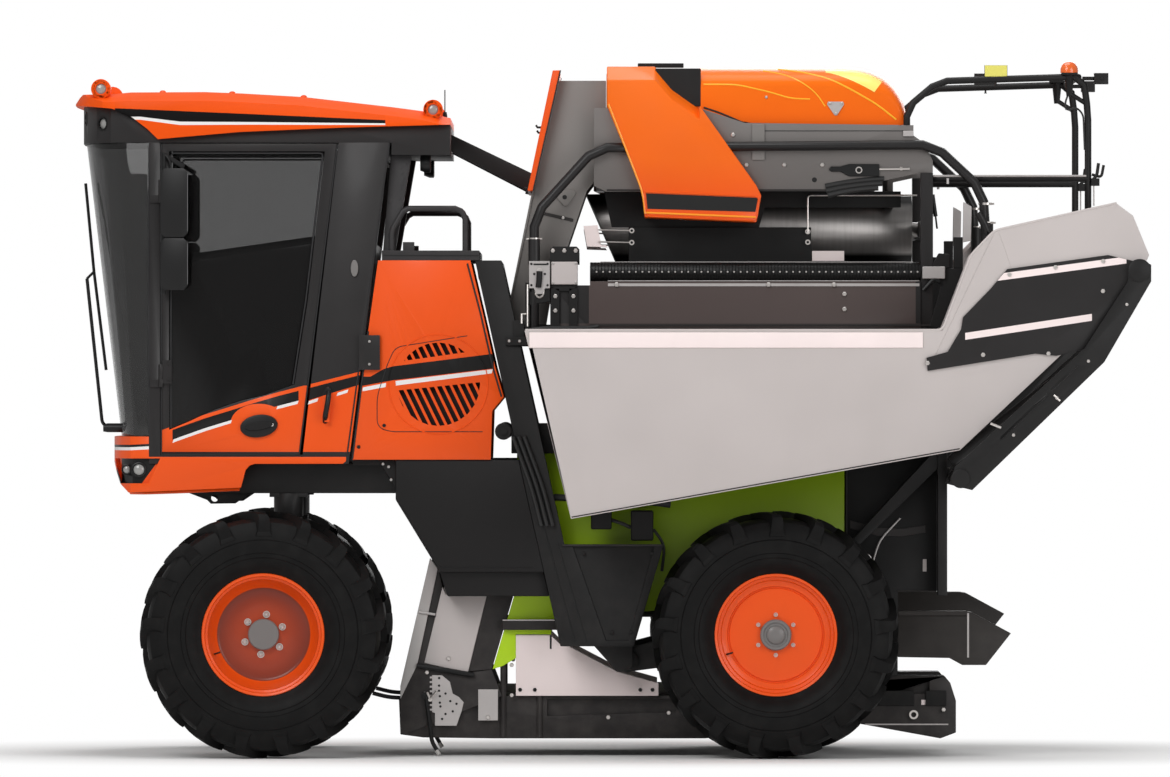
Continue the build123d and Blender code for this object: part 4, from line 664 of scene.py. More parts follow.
# The front cowl is a painted apron, open inside, with a black lamp well in each corner and a strip that
# runs back under the door. A black and a white stripe go round it, level with those on the doors.
DOOR_FRONT = -2.352
COWL_RISE = [(-2.62, 1.646), (-2.52, 1.646), (-2.42, 1.651), (DOOR_FRONT, 1.660)]
cowl_paint = striped("cowl_paint", ORANGE, [
    (COWL_RISE, BLACK),
    ([(x, z - 0.013) for x, z in COWL_RISE], WHITE),
    ([(x, z - 0.029) for x, z in COWL_RISE], ORANGE),
])
cowl_paint.paint_over(cowl_paint.x > DOOR_FRONT, ORANGE)
WELL_LOW, WELL_HIGH = 1.443, 1.574
above = cowl_paint.z - WELL_LOW
in_well = (cowl_paint.x > -2.612 - above * 0.10) * (cowl_paint.x < -2.455 + above * 0.74)
in_well = in_well * (cowl_paint.z > WELL_LOW) * (cowl_paint.z < WELL_HIGH) * (cowl_paint.y.abs() > 0.62)
cowl_paint.paint_over(in_well, BLACK)
cowl_paint = cowl_paint.done()
finish_node("front_cowl", cowl_paint, 0.004)

# Two round lamps stand in each black lamp well.
make("well_lamps", [
    spun([
        (0.0, 0.040), (0.010, 0.040), (0.012, 0.034), (0.004, 0.030), (0.0, 0.0),
    ], (-2.47, -0.815, 1.515), steps=28),
    spun([
        (0.0, 0.030), (0.008, 0.030), (0.010, 0.025), (0.003, 0.022), (0.0, 0.0),
    ], (-2.535, -0.76, 1.515), steps=24),
], soft_black)
make("well_lenses", [
    spun([(0.003, 0.029), (0.010, 0.020), (0.013, 0.0)], (-2.47, -0.815, 1.515), steps=24),
    spun([(0.002, 0.021), (0.008, 0.014), (0.010, 0.0)], (-2.535, -0.76, 1.515), steps=20),
], lamp_glass)

# A round lip stiffens the edge under the cowl.
make("cowl_lip", [tube([
    (-2.520, -0.62, 1.392), (-2.44, -0.74, 1.392), (-2.22, -0.80, 1.400), (-1.94, -0.80, 1.412),
], 0.009, cut=0.05)], cowl_paint)

# The windscreen is one bent pane of grey-tinted glass and the rear window a flat one; both are clear
# enough that the seat and the sky behind show through.
tinted = Finish("tinted_glass", (0.012, 0.0115, 0.011), rough=0.04, specular=0.4)
tinted.shader.inputs["Alpha"].default_value = 0.62
tinted.bump(tinted.noise(2.0, 2.0), 0.03, 0.002)
screen_glass = tinted.done()
screen_glass.blend_method = "BLEND"
finish_node("cab_glass", screen_glass, 0.0005)
make("screen_seals", [tube([(-2.416, 1.70), (-2.416, 3.225)], 0.006, 0.845, 0.05)], seal_rubber)
make("rear_window_seal", [
    tube([(-1.182, -0.69, 3.14), (-1.182, 0.69, 3.14)], 0.010, upward=(0, 0, 1)),
    tube([(-1.262, -0.69, 2.71), (-1.262, 0.69, 2.71)], 0.010, upward=(0, 0, 1)),
], seal_rubber, sides=(-1,))

# A wiper is parked along the windscreen's left edge: a black arm from its spindle, and its blade.
make("wiper", [
    tube([(-2.640, -0.600, 1.735), (-2.672, -0.612, 1.760), (-2.752, -0.622, 2.523)], 0.009, cut=0.02),
    spun([(-0.012, 0.0), (-0.012, 0.020), (0.012, 0.024), (0.090, 0.024)], (-2.655, -0.600, 1.735), "x", 20),
], soft_black, sides=(-1,))
make("wiper_blade", [
    tube([(-2.762, -0.560, 3.027), (-2.716, -0.600, 2.560), (-2.650, -0.640, 2.040)], 0.008),
    tube([(-2.752, -0.622, 2.523), (-2.716, -0.600, 2.560)], 0.007),
], soft_black, sides=(-1,))

# The doors are aluminium frames painted dark, with the orange sweep round their foot, bonded panes,
# two hinges at the front pillar and an oval recessed handle that keeps a ring of plain orange round it.
DOOR_EDGE = [
    (DOOR_FRONT, 1.722), (-2.25, 1.760), (-2.12, 1.806), (-1.974, 1.851), (-1.86, 1.887), (-1.74, 1.922),
    (-1.60, 1.958),
]
HANDLE = (-1.837, 1.745)


def lowered(points, drop):
    return [(x, z - drop) for x, z in points]


for place, side in SIDES:
    door = striped(f"door_paint_{place}", DARK, [(DOOR_EDGE, ORANGE)])
    # The black band starts a little inside the door's edges and gives way round the handle.
    across, up = (door.x - HANDLE[0]) / 0.150, (door.z - HANDLE[1] - 0.012) / 0.105
    near_handle = (across * across + up * up) < 1.0
    inside = (door.x > -2.292) * (door.x < -1.628)
    below_edge = door.z < sweep_line(door, lowered(DOOR_EDGE, 0.020))
    above_foot = door.z > sweep_line(door, lowered(DOOR_EDGE, 0.072))
    door.paint_over(inside * below_edge * above_foot * (1 - near_handle), BLACK)
    door.paint_over(door.z < 1.609, DARK)
    finish_node(f"door_{place}", door.done(), 0.002)
    pane = Finish(f"door_glass_{place}", (0.006, 0.0056, 0.0056), rough=0.03, specular=0.25)
    # The pane is darker and more opaque below a line that rises towards the rear: painted shade of the dark cab
    # inside.
    painted_shade_edge = sweep_line(pane, [(-2.354, 2.518), (-2.20, 2.621), (-1.964, 2.666), (-1.551, 2.710)])
    see_through = (pane.z - painted_shade_edge).ramp(-0.02, 0.02)
    pane.tree.links.new((0.90 - see_through * 0.43).link, pane.shader.inputs["Alpha"])
    pane.bump(pane.noise(2.0, 2.0), 0.03, 0.002)
    pane = pane.done()
    pane.blend_method = "BLEND"
    finish_node(f"door_glass_{place}", pane, 0.0005)
    body = f"cab_door_{place}"
    white_low, white_high = lowered(DOOR_EDGE, 0.088), lowered(DOOR_EDGE, 0.072)
    strips = [stripe(
        [(x, np.interp(x, *np.array(white_low).T)) for x in np.linspace(start, end, 12)],
        [(x, np.interp(x, *np.array(white_high).T)) for x in np.linspace(start + 0.006, end + 0.006, 12)],
        CAB_FACE,
    ) for start, end in ((-2.292, -1.985), (-1.745, -1.634))]
    make(f"door_stripes_{place}", strips, film_white, body, (side,))
    # The handle's bezel is a dark oval with a slot for the fingers and a pressed lever across it.
    ring = circle(1.0, 40) * (0.100, 0.060)
    turn = math.radians(8)
    tilt = np.array([[math.cos(turn), math.sin(turn)], [-math.sin(turn), math.cos(turn)]])
    points = np.zeros((3, 40, 3))
    for layer, (share, out) in enumerate(((1.0, CAB_FACE), (0.97, CAB_FACE + 0.016), (0.80, CAB_FACE + 0.019))):
        flat = ring * share @ tilt + HANDLE
        points[layer, :, 0], points[layer, :, 1], points[layer, :, 2] = flat[:, 0], -out, flat[:, 1]
    bezel = points.reshape(-1, 3), grid_faces(3, 40, wrap_columns=True) + [list(range(80, 120))]
    make(f"handle_bezel_{place}", [bezel], soft_black, body, (side,))
    lever = (circle(1.0, 28) * (0.074, 0.022)) @ tilt + HANDLE
    lever = cut_out(lever, CAB_FACE + 0.018, CAB_FACE + 0.027)
    make(f"handle_lever_{place}", [lever], dark_plastic, body, (side,), 0.003)
    lock = spun([
        (0.0, 0.009), (0.004, 0.009), (0.005, 0.006), (0.005, 0.0),
    ], (-1.768, -CAB_FACE - 0.018, 1.752), steps=16)
    make(f"handle_lock_{place}", [lock], nut_steel, body, (side,))
    make(f"door_seal_{place}", [tube([
        (-2.300, 1.735), (-2.300, 3.181), (-1.500, 3.181), (-1.590, 2.407), (-1.658, 1.965),
    ], 0.005, 0.846, 0.02, sides=6)], seal_rubber, body, (side,))
    # Hinge covers: a stepped casting over each knuckle, with two bolts.
    covers = []
    for height in (2.03, 3.00):
        covers.append(brick((-2.346, -2.296), (0.862, 0.874), (height - 0.062, height + 0.062)))
        covers.append(bolts(0.008, 0.006, 0.874, [(-2.312, height - 0.042), (-2.312, height + 0.042)]))
    make(f"hinge_covers_{place}", covers, lining, body, (side,), 0.003)
    # A grab rail stands inside the glass.
    make(f"door_inner_rail_{place}", [tube([
        (-2.27, -0.79, 1.80), (-2.13, -0.78, 1.86), (-2.02, -0.78, 2.40), (-2.27, -0.79, 2.46),
    ], 0.013, cut=0.08, sides=10)], soft_black, body, (side,))

# The operator's seat: pressed and foamed black fabric cushions, with sewn side bolsters and a head rest.
seat_cloth = Finish("seat_cloth", (0.028, 0.027, 0.028), rough=0.85)
threads = seat_cloth.stretched(1.0, 1.4, 1.0)
weave = seat_cloth.node("ShaderNodeTexVoronoi", {"feature": "F1"}, Vector=threads, Scale=480.0)
seat_cloth.bump(weave, 0.4, 0.001)
seat_cloth.paint_over(seat_cloth.y.abs() > 0.175, (0.018, 0.018, 0.019))
seat_cloth = seat_cloth.done()
finish_node("seat", seat_cloth, 0.03, 20)
finish_node("steering_column", soft_black, 0.006)
# A display and two levers show as dark shapes behind the glass.
make("cab_fittings", [
    brick((-2.06, -1.86), (0.50, 0.53), (2.05, 2.22)),
    tube([(-2.2, -0.45, 1.75), (-2.12, -0.50, 2.0), (-2.02, -0.52, 2.1)], 0.012, cut=0.05),
    tube([(-1.75, 2.27), (-1.82, 2.31), (-1.83, 2.37)], 0.014, 0.32, 0.02),
], soft_black, sides=(-1,), bevel=0.004)
sun_visor = [(-2.20, 2.66), (-1.50, 2.76), (-1.50, 2.72), (-2.20, 2.62)]
make("sun_visor", [cut_out(sun_visor, 0.30, 0.302)], soft_black, sides=(-1,))

# The engine bay's side covers are pressed sheet in orange with a round grille of slanted slots, a
# black and white band across it, and a raised ring pressed round the grille.
GRILLE = (-0.893, 1.965)
cover = striped("cover_paint", ORANGE, [])
BAND_TOP = [(-1.25, 2.005), (-1.180, 2.045), (-1.134, 2.059), (-0.614, 2.124)]
in_band = (cover.z < sweep_line(cover, BAND_TOP)) * (cover.z > sweep_line(cover, [
    (-1.30, 1.955), (-1.134, 1.985), (-0.614, 2.046)]))
cover.paint_over(in_band * (cover.x > -1.330) * (cover.x < -0.6), BLACK)
cover = cover.done()
finish_node("engine_covers", cover, 0.004)
make("cover_stripes", [
    stripe([(-1.116, 1.958), (-0.612, 2.022)], [(-1.118, 1.982), (-0.606, 2.044)], CAB_FACE),
    stripe([(-1.292, 1.928), (-1.170, 1.950)], [(-1.290, 1.948), (-1.168, 1.972)], CAB_FACE),
], film_white)
make("grille_ring", [tube(looped(GRILLE, 0.262, 0.262, CAB_FACE, 73), 0.0035, sides=6)], cover)
make("cover_crease", [tube([
    (-0.74, 2.22), (-1.12, 2.16), (-1.165, 2.06), (-1.215, 1.90), (-1.215, 1.74), (-1.15, 1.715), (-0.66, 1.715),
], 0.0022, CAB_FACE, 0.04, 6)], seal_rubber)
screen_and_shade_black = Finish("grille_screen", (0.006, 0.006, 0.006), rough=0.8).done()
make("grille_screen", [cut_out(circle(0.226, 48) + GRILLE, 0.795, 0.806)], screen_and_shade_black)
make("cover_bolts", [bolts(0.010, 0.006, CAB_FACE, [(-1.312, 1.635), (-1.178, 1.748)])], soft_black)
make("cover_seals", [
    tube([(-1.262, 2.244), (-1.345, 1.571)], 0.005, CAB_FACE, sides=6),
    tube([(-0.740, 2.60), (-0.672, 2.344), (-0.606, 2.055), (-0.560, 1.90)], 0.005, CAB_FACE, sides=6),
], seal_rubber)
engine_cast = Finish("engine_cast", (0.05, 0.048, 0.046), rough=0.6).done()
finish_node("engine_block", engine_cast, 0.02)

# The deck over the engine is checker plate with a tube rail for the ladder, a socket and a post to the roof.
deck_paint = paint("deck_paint", (0.030, 0.028, 0.029), 0.45, 0.0, dust=0.15)
plate = deck_paint.stretched(1, 2.2, 1)
checks = deck_paint.node("ShaderNodeTexVoronoi", {"feature": "SMOOTH_F1"}, Vector=plate, Scale=34.0)
deck_paint.bump((1 - checks.ramp(0.1, 0.3)) * (deck_paint.z > 2.667), 0.5, 0.002)
finish_node("deck", deck_paint.done(), 0.003)
make("deck_edge", [brick((-1.19, -0.68), (0.8505, 0.8525), (2.640, 2.644))], screen_and_shade_black)
# A black sheet closes the joint between the covers' foot and the beam.
make("bay_closing_sheet", [brick((-1.343, -1.112), (0.790, 0.796), (1.538, 1.576))], screen_and_shade_black)

# The picking head: lime-painted tunnel walls, dark rails and columns, and pale noses and skirts of
# bent sheet that part the canes, all bolted together on both sides of the row.
LIME = (0.47, 0.73, 0.010)
lime_paint = paint("lime_paint", LIME, 0.36, 0.1, dust=0.05)
# The walls are painted darker towards the rear: painted shade.
lime_paint.paint_over(lime_paint.x.ramp(-0.30, 0.10) * 0.55, (0.10, 0.155, 0.008))
finish_node("tunnel_walls", lime_paint.done())
rail_dark = paint("rail_dark", (0.0255, 0.0225, 0.0220), 0.45, 0.0, dust=0.10).done()
for name in ("head_rails", "head_columns"):
    finish_node(name, rail_dark)
PALE = (0.535, 0.487, 0.474)
PINKISH = (0.90, 0.780, 0.765)
nose_paint = paint("nose_paint", PALE, 0.38, 0.1, dust=0.06)
nose_paint.paint_over(1 - nose_paint.x.ramp(-1.02, -0.88), (0.40, 0.385, 0.375))
finish_node("head_noses", nose_paint.done(), 0.004)
skirt_paint = paint("skirt_paint", PINKISH, 0.38, 0.1, dust=0.05).done()
finish_node("head_skirts", skirt_paint, 0.003)

# On the rail: a pierced catch plate, a bare plate, a hand lever with its hook, and the screws that hold them.
HEAD_FACE = 0.60
RAIL_FACE = 0.57
CHEEK_FACE = 0.594
SHEET = 0.004
bare_sheet = Finish("bare_sheet", (0.52, 0.49, 0.48), rough=0.36, metal=0.35)
bare_sheet.bump(bare_sheet.noise(60.0, 3.0, place=bare_sheet.stretched(1, 1, 12)), 0.06, 0.0008)
bare_sheet.paint_over(bare_sheet.noise(5.0, 3.0).ramp(0.4, 0.8) * 0.4, (0.36, 0.34, 0.33))
bare_sheet = bare_sheet.done()
catch_plate = [
    (-0.929, 0.427), (-0.877, 0.427), (-0.835, 0.392), (-0.820, 0.330), (-0.788, 0.312), (-0.762, 0.284),
    (-0.772, 0.240), (-0.800, 0.160), (-0.914, 0.160), (-0.914, 0.228), (-0.929, 0.232),
]
make("catch_plate", [cut_out(catch_plate, CHEEK_FACE, CHEEK_FACE + SHEET)], bare_sheet, bevel=0.001)
make("rail_plate", [
    brick((-0.685, -0.581), (CHEEK_FACE, CHEEK_FACE + SHEET), (0.188, 0.352)),
], bare_sheet, bevel=0.001)
holes = at([
    (-0.892, 0.412), (-0.892, 0.372), (-0.892, 0.345), (-0.888, 0.316), (-0.888, 0.282), (-0.885, 0.262),
    (-0.858, 0.330), (-0.833, 0.290), (-0.858, 0.222), (-0.820, 0.236), (-0.800, 0.276), (-0.876, 0.196),
], CHEEK_FACE + SHEET)
hole = disc(0.0065, 0.0012, (0, 0, 0), 10)
make("catch_plate_holes", [repeated(hole, holes)], screen_and_shade_black)
teeth = at([(-0.935, z) for z in np.linspace(0.245, 0.415, 8)], CHEEK_FACE + SHEET / 2)
make("catch_plate_teeth", [repeated(brick((-0.006, 0.006), (0.0, 0.003), (-0.005, 0.005)), teeth)], bare_sheet)
make("head_screws", [
    repeated(hexagon_head(0.012, 0.008), [
        (-0.842, -HEAD_FACE, 0.515), (-0.956, -CHEEK_FACE, 0.442), (-0.798, -CHEEK_FACE, 0.447),
        (-0.634, -CHEEK_FACE - SHEET, 0.205), (-0.508, -CHEEK_FACE, 0.481), (-0.508, -CHEEK_FACE, 0.322),
        (-0.966, -CHEEK_FACE, 0.330),
        (0.002, -RAIL_FACE, 0.204), (0.322, -RAIL_FACE, 0.228),
    ]),
], nut_steel)
skirt_screws = [(x, 0.350) for x in (-0.464, -0.386, 0.171, 0.236)]
make("skirt_screws", [bolts(0.011, 0.006, HEAD_FACE, skirt_screws)], soft_black)
make("wing_nut", [
    tube([(-0.940, -0.606, 0.300), (-0.955, -0.622, 0.338)], 0.006),
    tube([(-0.940, -0.606, 0.300), (-0.905, -0.624, 0.345)], 0.006),
    disc(0.012, 0.014, (-0.940, -CHEEK_FACE, 0.300), 12),
], nut_steel)
make("latch_lever", [
    tube([
        (-0.962, -0.605, 0.318), (-0.945, -0.612, 0.20), (-0.930, -0.612, 0.075), (-0.895, -0.612, 0.018),
    ], 0.011, cut=0.03, sides=10),
    spun([(0.0, 0.022), (0.018, 0.022), (0.020, 0.016), (0.020, 0.0)], (-0.962, -CHEEK_FACE, 0.318), steps=20),
], soft_black)
make("lever_tip", [tube([(-0.905, 0.032), (-0.890, 0.008)], 0.0125, 0.612, sides=10)], zinc)
feeler = [(-1.245, 0.330), (-1.16, 0.308), (-1.09, 0.305)]
make("feeler_rod", [tube(feeler, 0.011, 0.50, 0.04, sides=10)], soft_black)
# The lip under the pale panel, the pin across the nose and the ribs pressed into the cheek.
make("nose_lip", [tube([
    (-1.010, -0.606, 0.478), (-0.860, -0.612, 0.455), (-0.708, -0.606, 0.428),
], 0.013, cut=0.03)], soft_black)
make("nose_pin", [tube([(-1.000, 0.762), (-0.912, 0.748)], 0.007, 0.606)], bare_sheet)
for number, (rib_x, rib_low, rib_high) in enumerate(((-0.553, 0.10, 0.48), (-0.360, 0.10, 0.32))):
    make(f"cheek_rib_{number}", [tube([(rib_x, rib_low), (rib_x, rib_high)], 0.016, 0.570, sides=10)], rail_dark)
make("column_strip", [brick((-0.556, -0.268), (0.6405, 0.6425), (0.716, 0.722))], bare_sheet)
make("column_slot", [brick((-0.307, -0.297), (HEAD_FACE, HEAD_FACE + 0.001), (0.566, 0.640))], screen_and_shade_black)

# The leg boxes' side sheets are folded: two creases run down the leaning member, with a drain hole.
make("leg_creases", [
    tube([(-0.345, 1.250), (-0.173, 0.610)], 0.003, 0.8405, sides=6),
    tube([(-0.265, 1.130), (-0.112, 0.610)], 0.003, 0.8405, sides=6),
], screen_and_shade_black)
make("leg_top_fold", [brick((-0.24, 0.285), (0.8405, 0.848), (1.112, 1.122))], rail_dark, bevel=0.001)
make("leg_hole", [disc(0.021, 0.0015, (-0.166, -0.829, 1.047), 24)], screen_and_shade_black)
make("arm_pivot_caps", [
    spun([(0.0, 0.060), (0.020, 0.060), (0.026, 0.050), (0.026, 0.0)], (0.105, -0.70, 0.507), steps=32),
    spun([(0.026, 0.013), (0.034, 0.013), (0.034, 0.0)], (0.105, -0.70, 0.507), steps=6),
], black_paint)

# Behind the leg: a dark pump block with its hoses, fixed to the high beam, and a pale drain spout.
make("pump_block", [
    brick((-0.09, 0.02), (0.720, 0.80), (1.20, 1.33)),
    brick((0.12, 0.24), (0.720, 0.79), (1.14, 1.30)),
], dark_plastic, bevel=0.010)
make("pump_hoses", [
    tube([
        (-0.30, -0.74, 1.37), (-0.10, -0.755, 1.36), (0.10, -0.755, 1.36), (0.33, -0.74, 1.33),
    ], 0.018, cut=0.06, sides=10),
    tube([(0.02, -0.76, 1.25), (0.08, -0.77, 1.23), (0.12, -0.76, 1.21)], 0.010, cut=0.03),
    tube([(0.24, -0.76, 1.20), (0.30, -0.77, 1.12), (0.285, -0.75, 0.98)], 0.008, cut=0.05),
], rubber)

# Bowed rods of nylon on steel shafts shake the row; the scales under them are tough clear-grey plastic.
rod_nylon = Finish("rod_nylon", (0.045, 0.043, 0.042), rough=0.4).done()
finish_node("shaker_rods", rod_nylon, 0.001)
scale_grey = Finish("scale_grey", (0.30, 0.29, 0.285), rough=0.5)
scale_grey.bump(scale_grey.noise(40.0, 3.0), 0.1, 0.001)
finish_node("catcher_scales", scale_grey.done(), 0.002)

# Elevator columns and their shields are black-painted sheet with folded edges and a few screws.
shield_black = paint("shield_black", (0.0052, 0.0050, 0.0050), 0.5, 0.0, dust=0.03).done()
finish_node("elevator_columns", shield_black)
make("shield_folds", [
    tube([(1.262, 1.59), (1.262, 0.66)], 0.005, 0.584, sides=6),
    tube([(1.53, 0.872), (1.735, 0.872)], 0.004, 0.584, sides=6),
], rail_dark)
make("shield_strap", [cut_out([
    (1.28, 1.245), (1.43, 1.205), (1.56, 1.202), (1.68, 1.222), (1.68, 1.180), (1.56, 1.160), (1.43, 1.163),
    (1.28, 1.203),
], 0.582, 0.590)], rail_dark, bevel=0.002)
make("shield_cables", [
    tube([(1.545, -0.60, 1.257), (1.435, -0.615, 1.14), (1.402, -0.60, 1.03)], 0.005, cut=0.05),
    tube([(1.345, -0.60, 1.085), (1.385, -0.61, 1.06), (1.400, -0.60, 1.025)], 0.004, cut=0.02),
], bare_sheet)
make("elevator_window", [brick((1.665, 1.685), (0.582, 0.585), (0.975, 1.040))], nose_paint.material)

# Fans in dark ducts blow leaves out behind the head; each duct's cover is screwed down along its top.
duct_dark = paint("duct_dark", (0.0290, 0.0255, 0.0235), 0.45, 0.0, dust=0.06).done()
finish_node("lower_fan_ducts", duct_dark, 0.003)
duct_screws = [(x, 0.7535) for x in np.linspace(1.56, 1.88, 9)]
make("duct_screws", [bolts(0.007, 0.005, HEAD_FACE - 0.03, duct_screws)], nut_steel, sides=(-1,))
make("duct_flange", [brick((1.535, 1.90), (0.5705, 0.580), (0.742, 0.766))], duct_dark, sides=(-1,), bevel=0.002)
make("duct_mouth_strip", [brick((1.900, 1.910), (0.5705, 0.573), (0.52, 0.755))], bare_sheet, sides=(-1,))

# The rear end of the rail carries a chain box with a tensioner ring, a screw and an open slot.
make("rail_box", [
    cut_out([
        (1.34, 0.400), (1.50, 0.400), (1.50, 0.345), (1.46, 0.330), (1.34, 0.330),
    ], RAIL_FACE - 0.04, RAIL_FACE),
    brick((1.43, 1.62), (RAIL_FACE, RAIL_FACE + 0.012), (0.265, 0.345)),
    brick((1.68, 1.79), (RAIL_FACE, RAIL_FACE + 0.012), (0.265, 0.345)),
], shield_black, bevel=0.003)
make("rail_ring", [
    washer(0.024, 0.014, 0.010, (1.617, -RAIL_FACE - 0.012, 0.218), 24),
    bolts(0.012, 0.008, RAIL_FACE + 0.012, [(1.775, 0.245)]),
], nut_steel)
make("rail_strip", [brick((1.36, 1.80), (RAIL_FACE, RAIL_FACE + 0.003), (0.163, 0.170))], bare_sheet)
make("rail_slot", [brick((1.658, 1.725), (RAIL_FACE - 0.001, RAIL_FACE + 0.001), (0.270, 0.296))], skirt_paint)

# Two tipping bins of stainless sheet painted pale grey, with a lighter band under their rim. A dark side
# plate with two light stripes is bolted on at the spout, where the bin turns on its pin.
bin_paint = paint("bin_paint", PALE, 0.4, 0.1, dust=0.06)
bin_paint.paint_over((bin_paint.y.abs() > 1.4405) * (bin_paint.z > 2.150) * (bin_paint.z < 2.240), PINKISH)
streak = bin_paint.noise(3.0, 4.0, place=bin_paint.stretched(1.0, 1.0, 0.25)).ramp(0.5, 0.8)
bin_paint.paint_over(streak * 0.12, (0.40, 0.37, 0.35))
bin_paint = bin_paint.done()
BIN_FACE, PLATE_FACE, ARM_FACE = 1.4395, 1.455, 1.496
PIVOT = (2.767, 2.557)
STRIPE_HIGH = [(1.60, 2.446), (2.79, 2.606)]
STRIPE_LOW = [(1.60, 2.157), (2.79, 2.336)]
STRIPE_WIDE = 0.036
for place, side in SIDES:
    body = f"tipping_bin_{place}"
    finish_node(f"bin_{place}", bin_paint, 0.003)
    plate_paint = striped(f"side_plate_paint_{place}", DARK, [], rough=0.42, coat=0.0)
    for low, limit in ((STRIPE_HIGH, (1.985, 2.700)), (STRIPE_LOW, (1.860, 2.520))):
        band = plate_paint.z > sweep_line(plate_paint, low)
        band = band * (plate_paint.z < sweep_line(plate_paint, lowered(low, -STRIPE_WIDE)))
        band = band * (plate_paint.x > limit[0]) * (plate_paint.x < limit[1])
        plate_paint.paint_over(band * (plate_paint.y.abs() > 1.4545), PINKISH)
    finish_node(f"bin_side_plate_{place}", plate_paint.done(), 0.002)
    make(f"side_plate_bolts_{place}", [bolts(0.012, 0.007, PLATE_FACE, [
        (2.090, 2.536), (2.330, 2.574), (2.578, 2.606), (2.578, 2.450), (2.294, 2.124), (1.953, 2.118),
        (1.664, 2.075),
    ])], nut_steel, body, (side,))
    # A turned cap closes the pivot and a rolled bead stiffens the rim of the bin.
    cap = [(0.0, 0.060), (0.005, 0.060), (0.009, 0.054), (0.009, 0.0)]
    cap = spun(cap, (PIVOT[0], -ARM_FACE - 0.0005, PIVOT[1]), steps=40)
    make(f"pivot_cap_{place}", [cap], black_paint, "machine", (side,))
    bead = [(-0.432, 2.246), (1.742, 2.246), (1.892, 2.640), (2.014, 2.766), (2.65, 2.908)]
    make(f"bin_bead_{place}", [tube(bead, 0.007, BIN_FACE - 0.0035, 0.03)], bin_paint, body, (side,))
    folds = [
        tube([(2.014, 2.762), (1.700, 2.110)], 0.003, BIN_FACE, sides=6),
        tube([(2.030, 2.770), (2.10, 2.570)], 0.002, BIN_FACE, sides=6),
    ]
    make(f"bin_folds_{place}", folds, nose_paint.material, body, (side,))
    foot = [(-0.190, 1.272), (0.80, 1.447), (1.832, 1.629)]
    make(f"bin_foot_seam_{place}", [tube(foot, 0.0035, BIN_FACE, sides=6)], rail_dark, body, (side,))

# The tipping frame is black-painted plate with two slots, a grease tee and a hose clamp on its arm.
finish_node("bin_tipping_frame", black_paint, 0.003)
make("arm_fittings", [
    tube([(2.320, 1.909), (2.352, 1.877)], 0.006, ARM_FACE + 0.004),
    tube([(2.336, -ARM_FACE + 0.002, 1.893), (2.336, -ARM_FACE - 0.009, 1.893)], 0.009, upward=(0, 0, 1)),
    tube([(1.990, 1.760), (2.045, 1.738)], 0.007, ARM_FACE + 0.003),
    bolts(0.009, 0.006, ARM_FACE, [(2.110, 1.700), (2.500, 2.085), (2.700, 2.380)]),
], nut_steel)
make("tube_caps", [
    spun([(0.0, 0.050), (0.006, 0.050), (0.009, 0.046), (0.009, 0.0)], (1.835, -ARM_FACE, 1.473), steps=28),
], black_paint)
make("tipping_rams", [tube([(1.80, 1.56), (2.40, 2.02)], 0.030, 1.02, sides=16)], black_paint)

# The sorting tables: dark side beams of folded sheet, bare strips along their top, and a roller bed
# with plastic rollers on steel shafts. A pierced feed tube lies on each beam.
beam_paint = paint("beam_paint", (0.0830, 0.0615, 0.0575), 0.42, 0.05, dust=0.05)
beam_paint.paint_over(beam_paint.x < -0.10, DARK)
beam_paint.paint_over((beam_paint.x > 1.62) * (beam_paint.z > 2.20), DARK)
beam_paint.paint_over((beam_paint.z < 2.285) * (beam_paint.y.abs() > 0.829), (0.045, 0.034, 0.032))
finish_node("sorting_tables", beam_paint.done())
BEAM_FACE = 0.83
make("beam_strips", [
    brick((0.0, 1.640), (0.806, 0.833), (2.5075, 2.5115)),
    brick((0.0, 1.640), (BEAM_FACE + 0.0003, BEAM_FACE + 0.003), (2.481, 2.496)),
    brick((-0.04, 1.610), (0.725, 0.735), (2.600, 2.612)),
], bare_sheet)
make("beam_bolts", [
    bolts(0.013, 0.008, BEAM_FACE + 0.003, [(0.045, 2.489), (0.845, 2.489), (1.190, 2.489)]),
    bolts(0.013, 0.008, BEAM_FACE, [(1.245, 2.440), (1.245, 2.360)]),
], nut_steel)
make("beam_fold", [brick((-0.09, 1.70), (BEAM_FACE, BEAM_FACE + 0.006), (2.272, 2.280))], rail_dark)
roller_plastic = Finish("roller_plastic", (0.055, 0.052, 0.050), rough=0.45, specular=0.3)
roller_plastic.bump(roller_plastic.noise(90.0, 3.0), 0.08, 0.0006)
finish_node("table_rollers", roller_plastic.done(), 0.004)
tube_black = Finish("tube_black", (0.006, 0.006, 0.006), rough=0.4, specular=0.3).done()
finish_node("table_augers", tube_black, 0.001, 60)
TUBE = (-0.780, 2.557, 0.050)
dots_x = np.arange(-0.06, 1.64, 0.0345)
dot = spun([(0.0, 0.0052), (0.0022, 0.0045), (0.0026, 0.0)], (0, 0, 0), steps=8)
make("feed_tube_holes", [repeated(dot, [(x, TUBE[0] - TUBE[2] + 0.0004, TUBE[1]) for x in dots_x])], nut_steel)
ring_steps = np.arange(-0.085, 1.64, 0.0172)
ribs = spun([(-0.002, 0.0498), (0.0, 0.0516), (0.002, 0.0498)], (0, 0, 0), "x", 20)
make("feed_tube_ribs", [repeated(ribs, [(x, TUBE[0], TUBE[1]) for x in ring_steps])], tube_black)

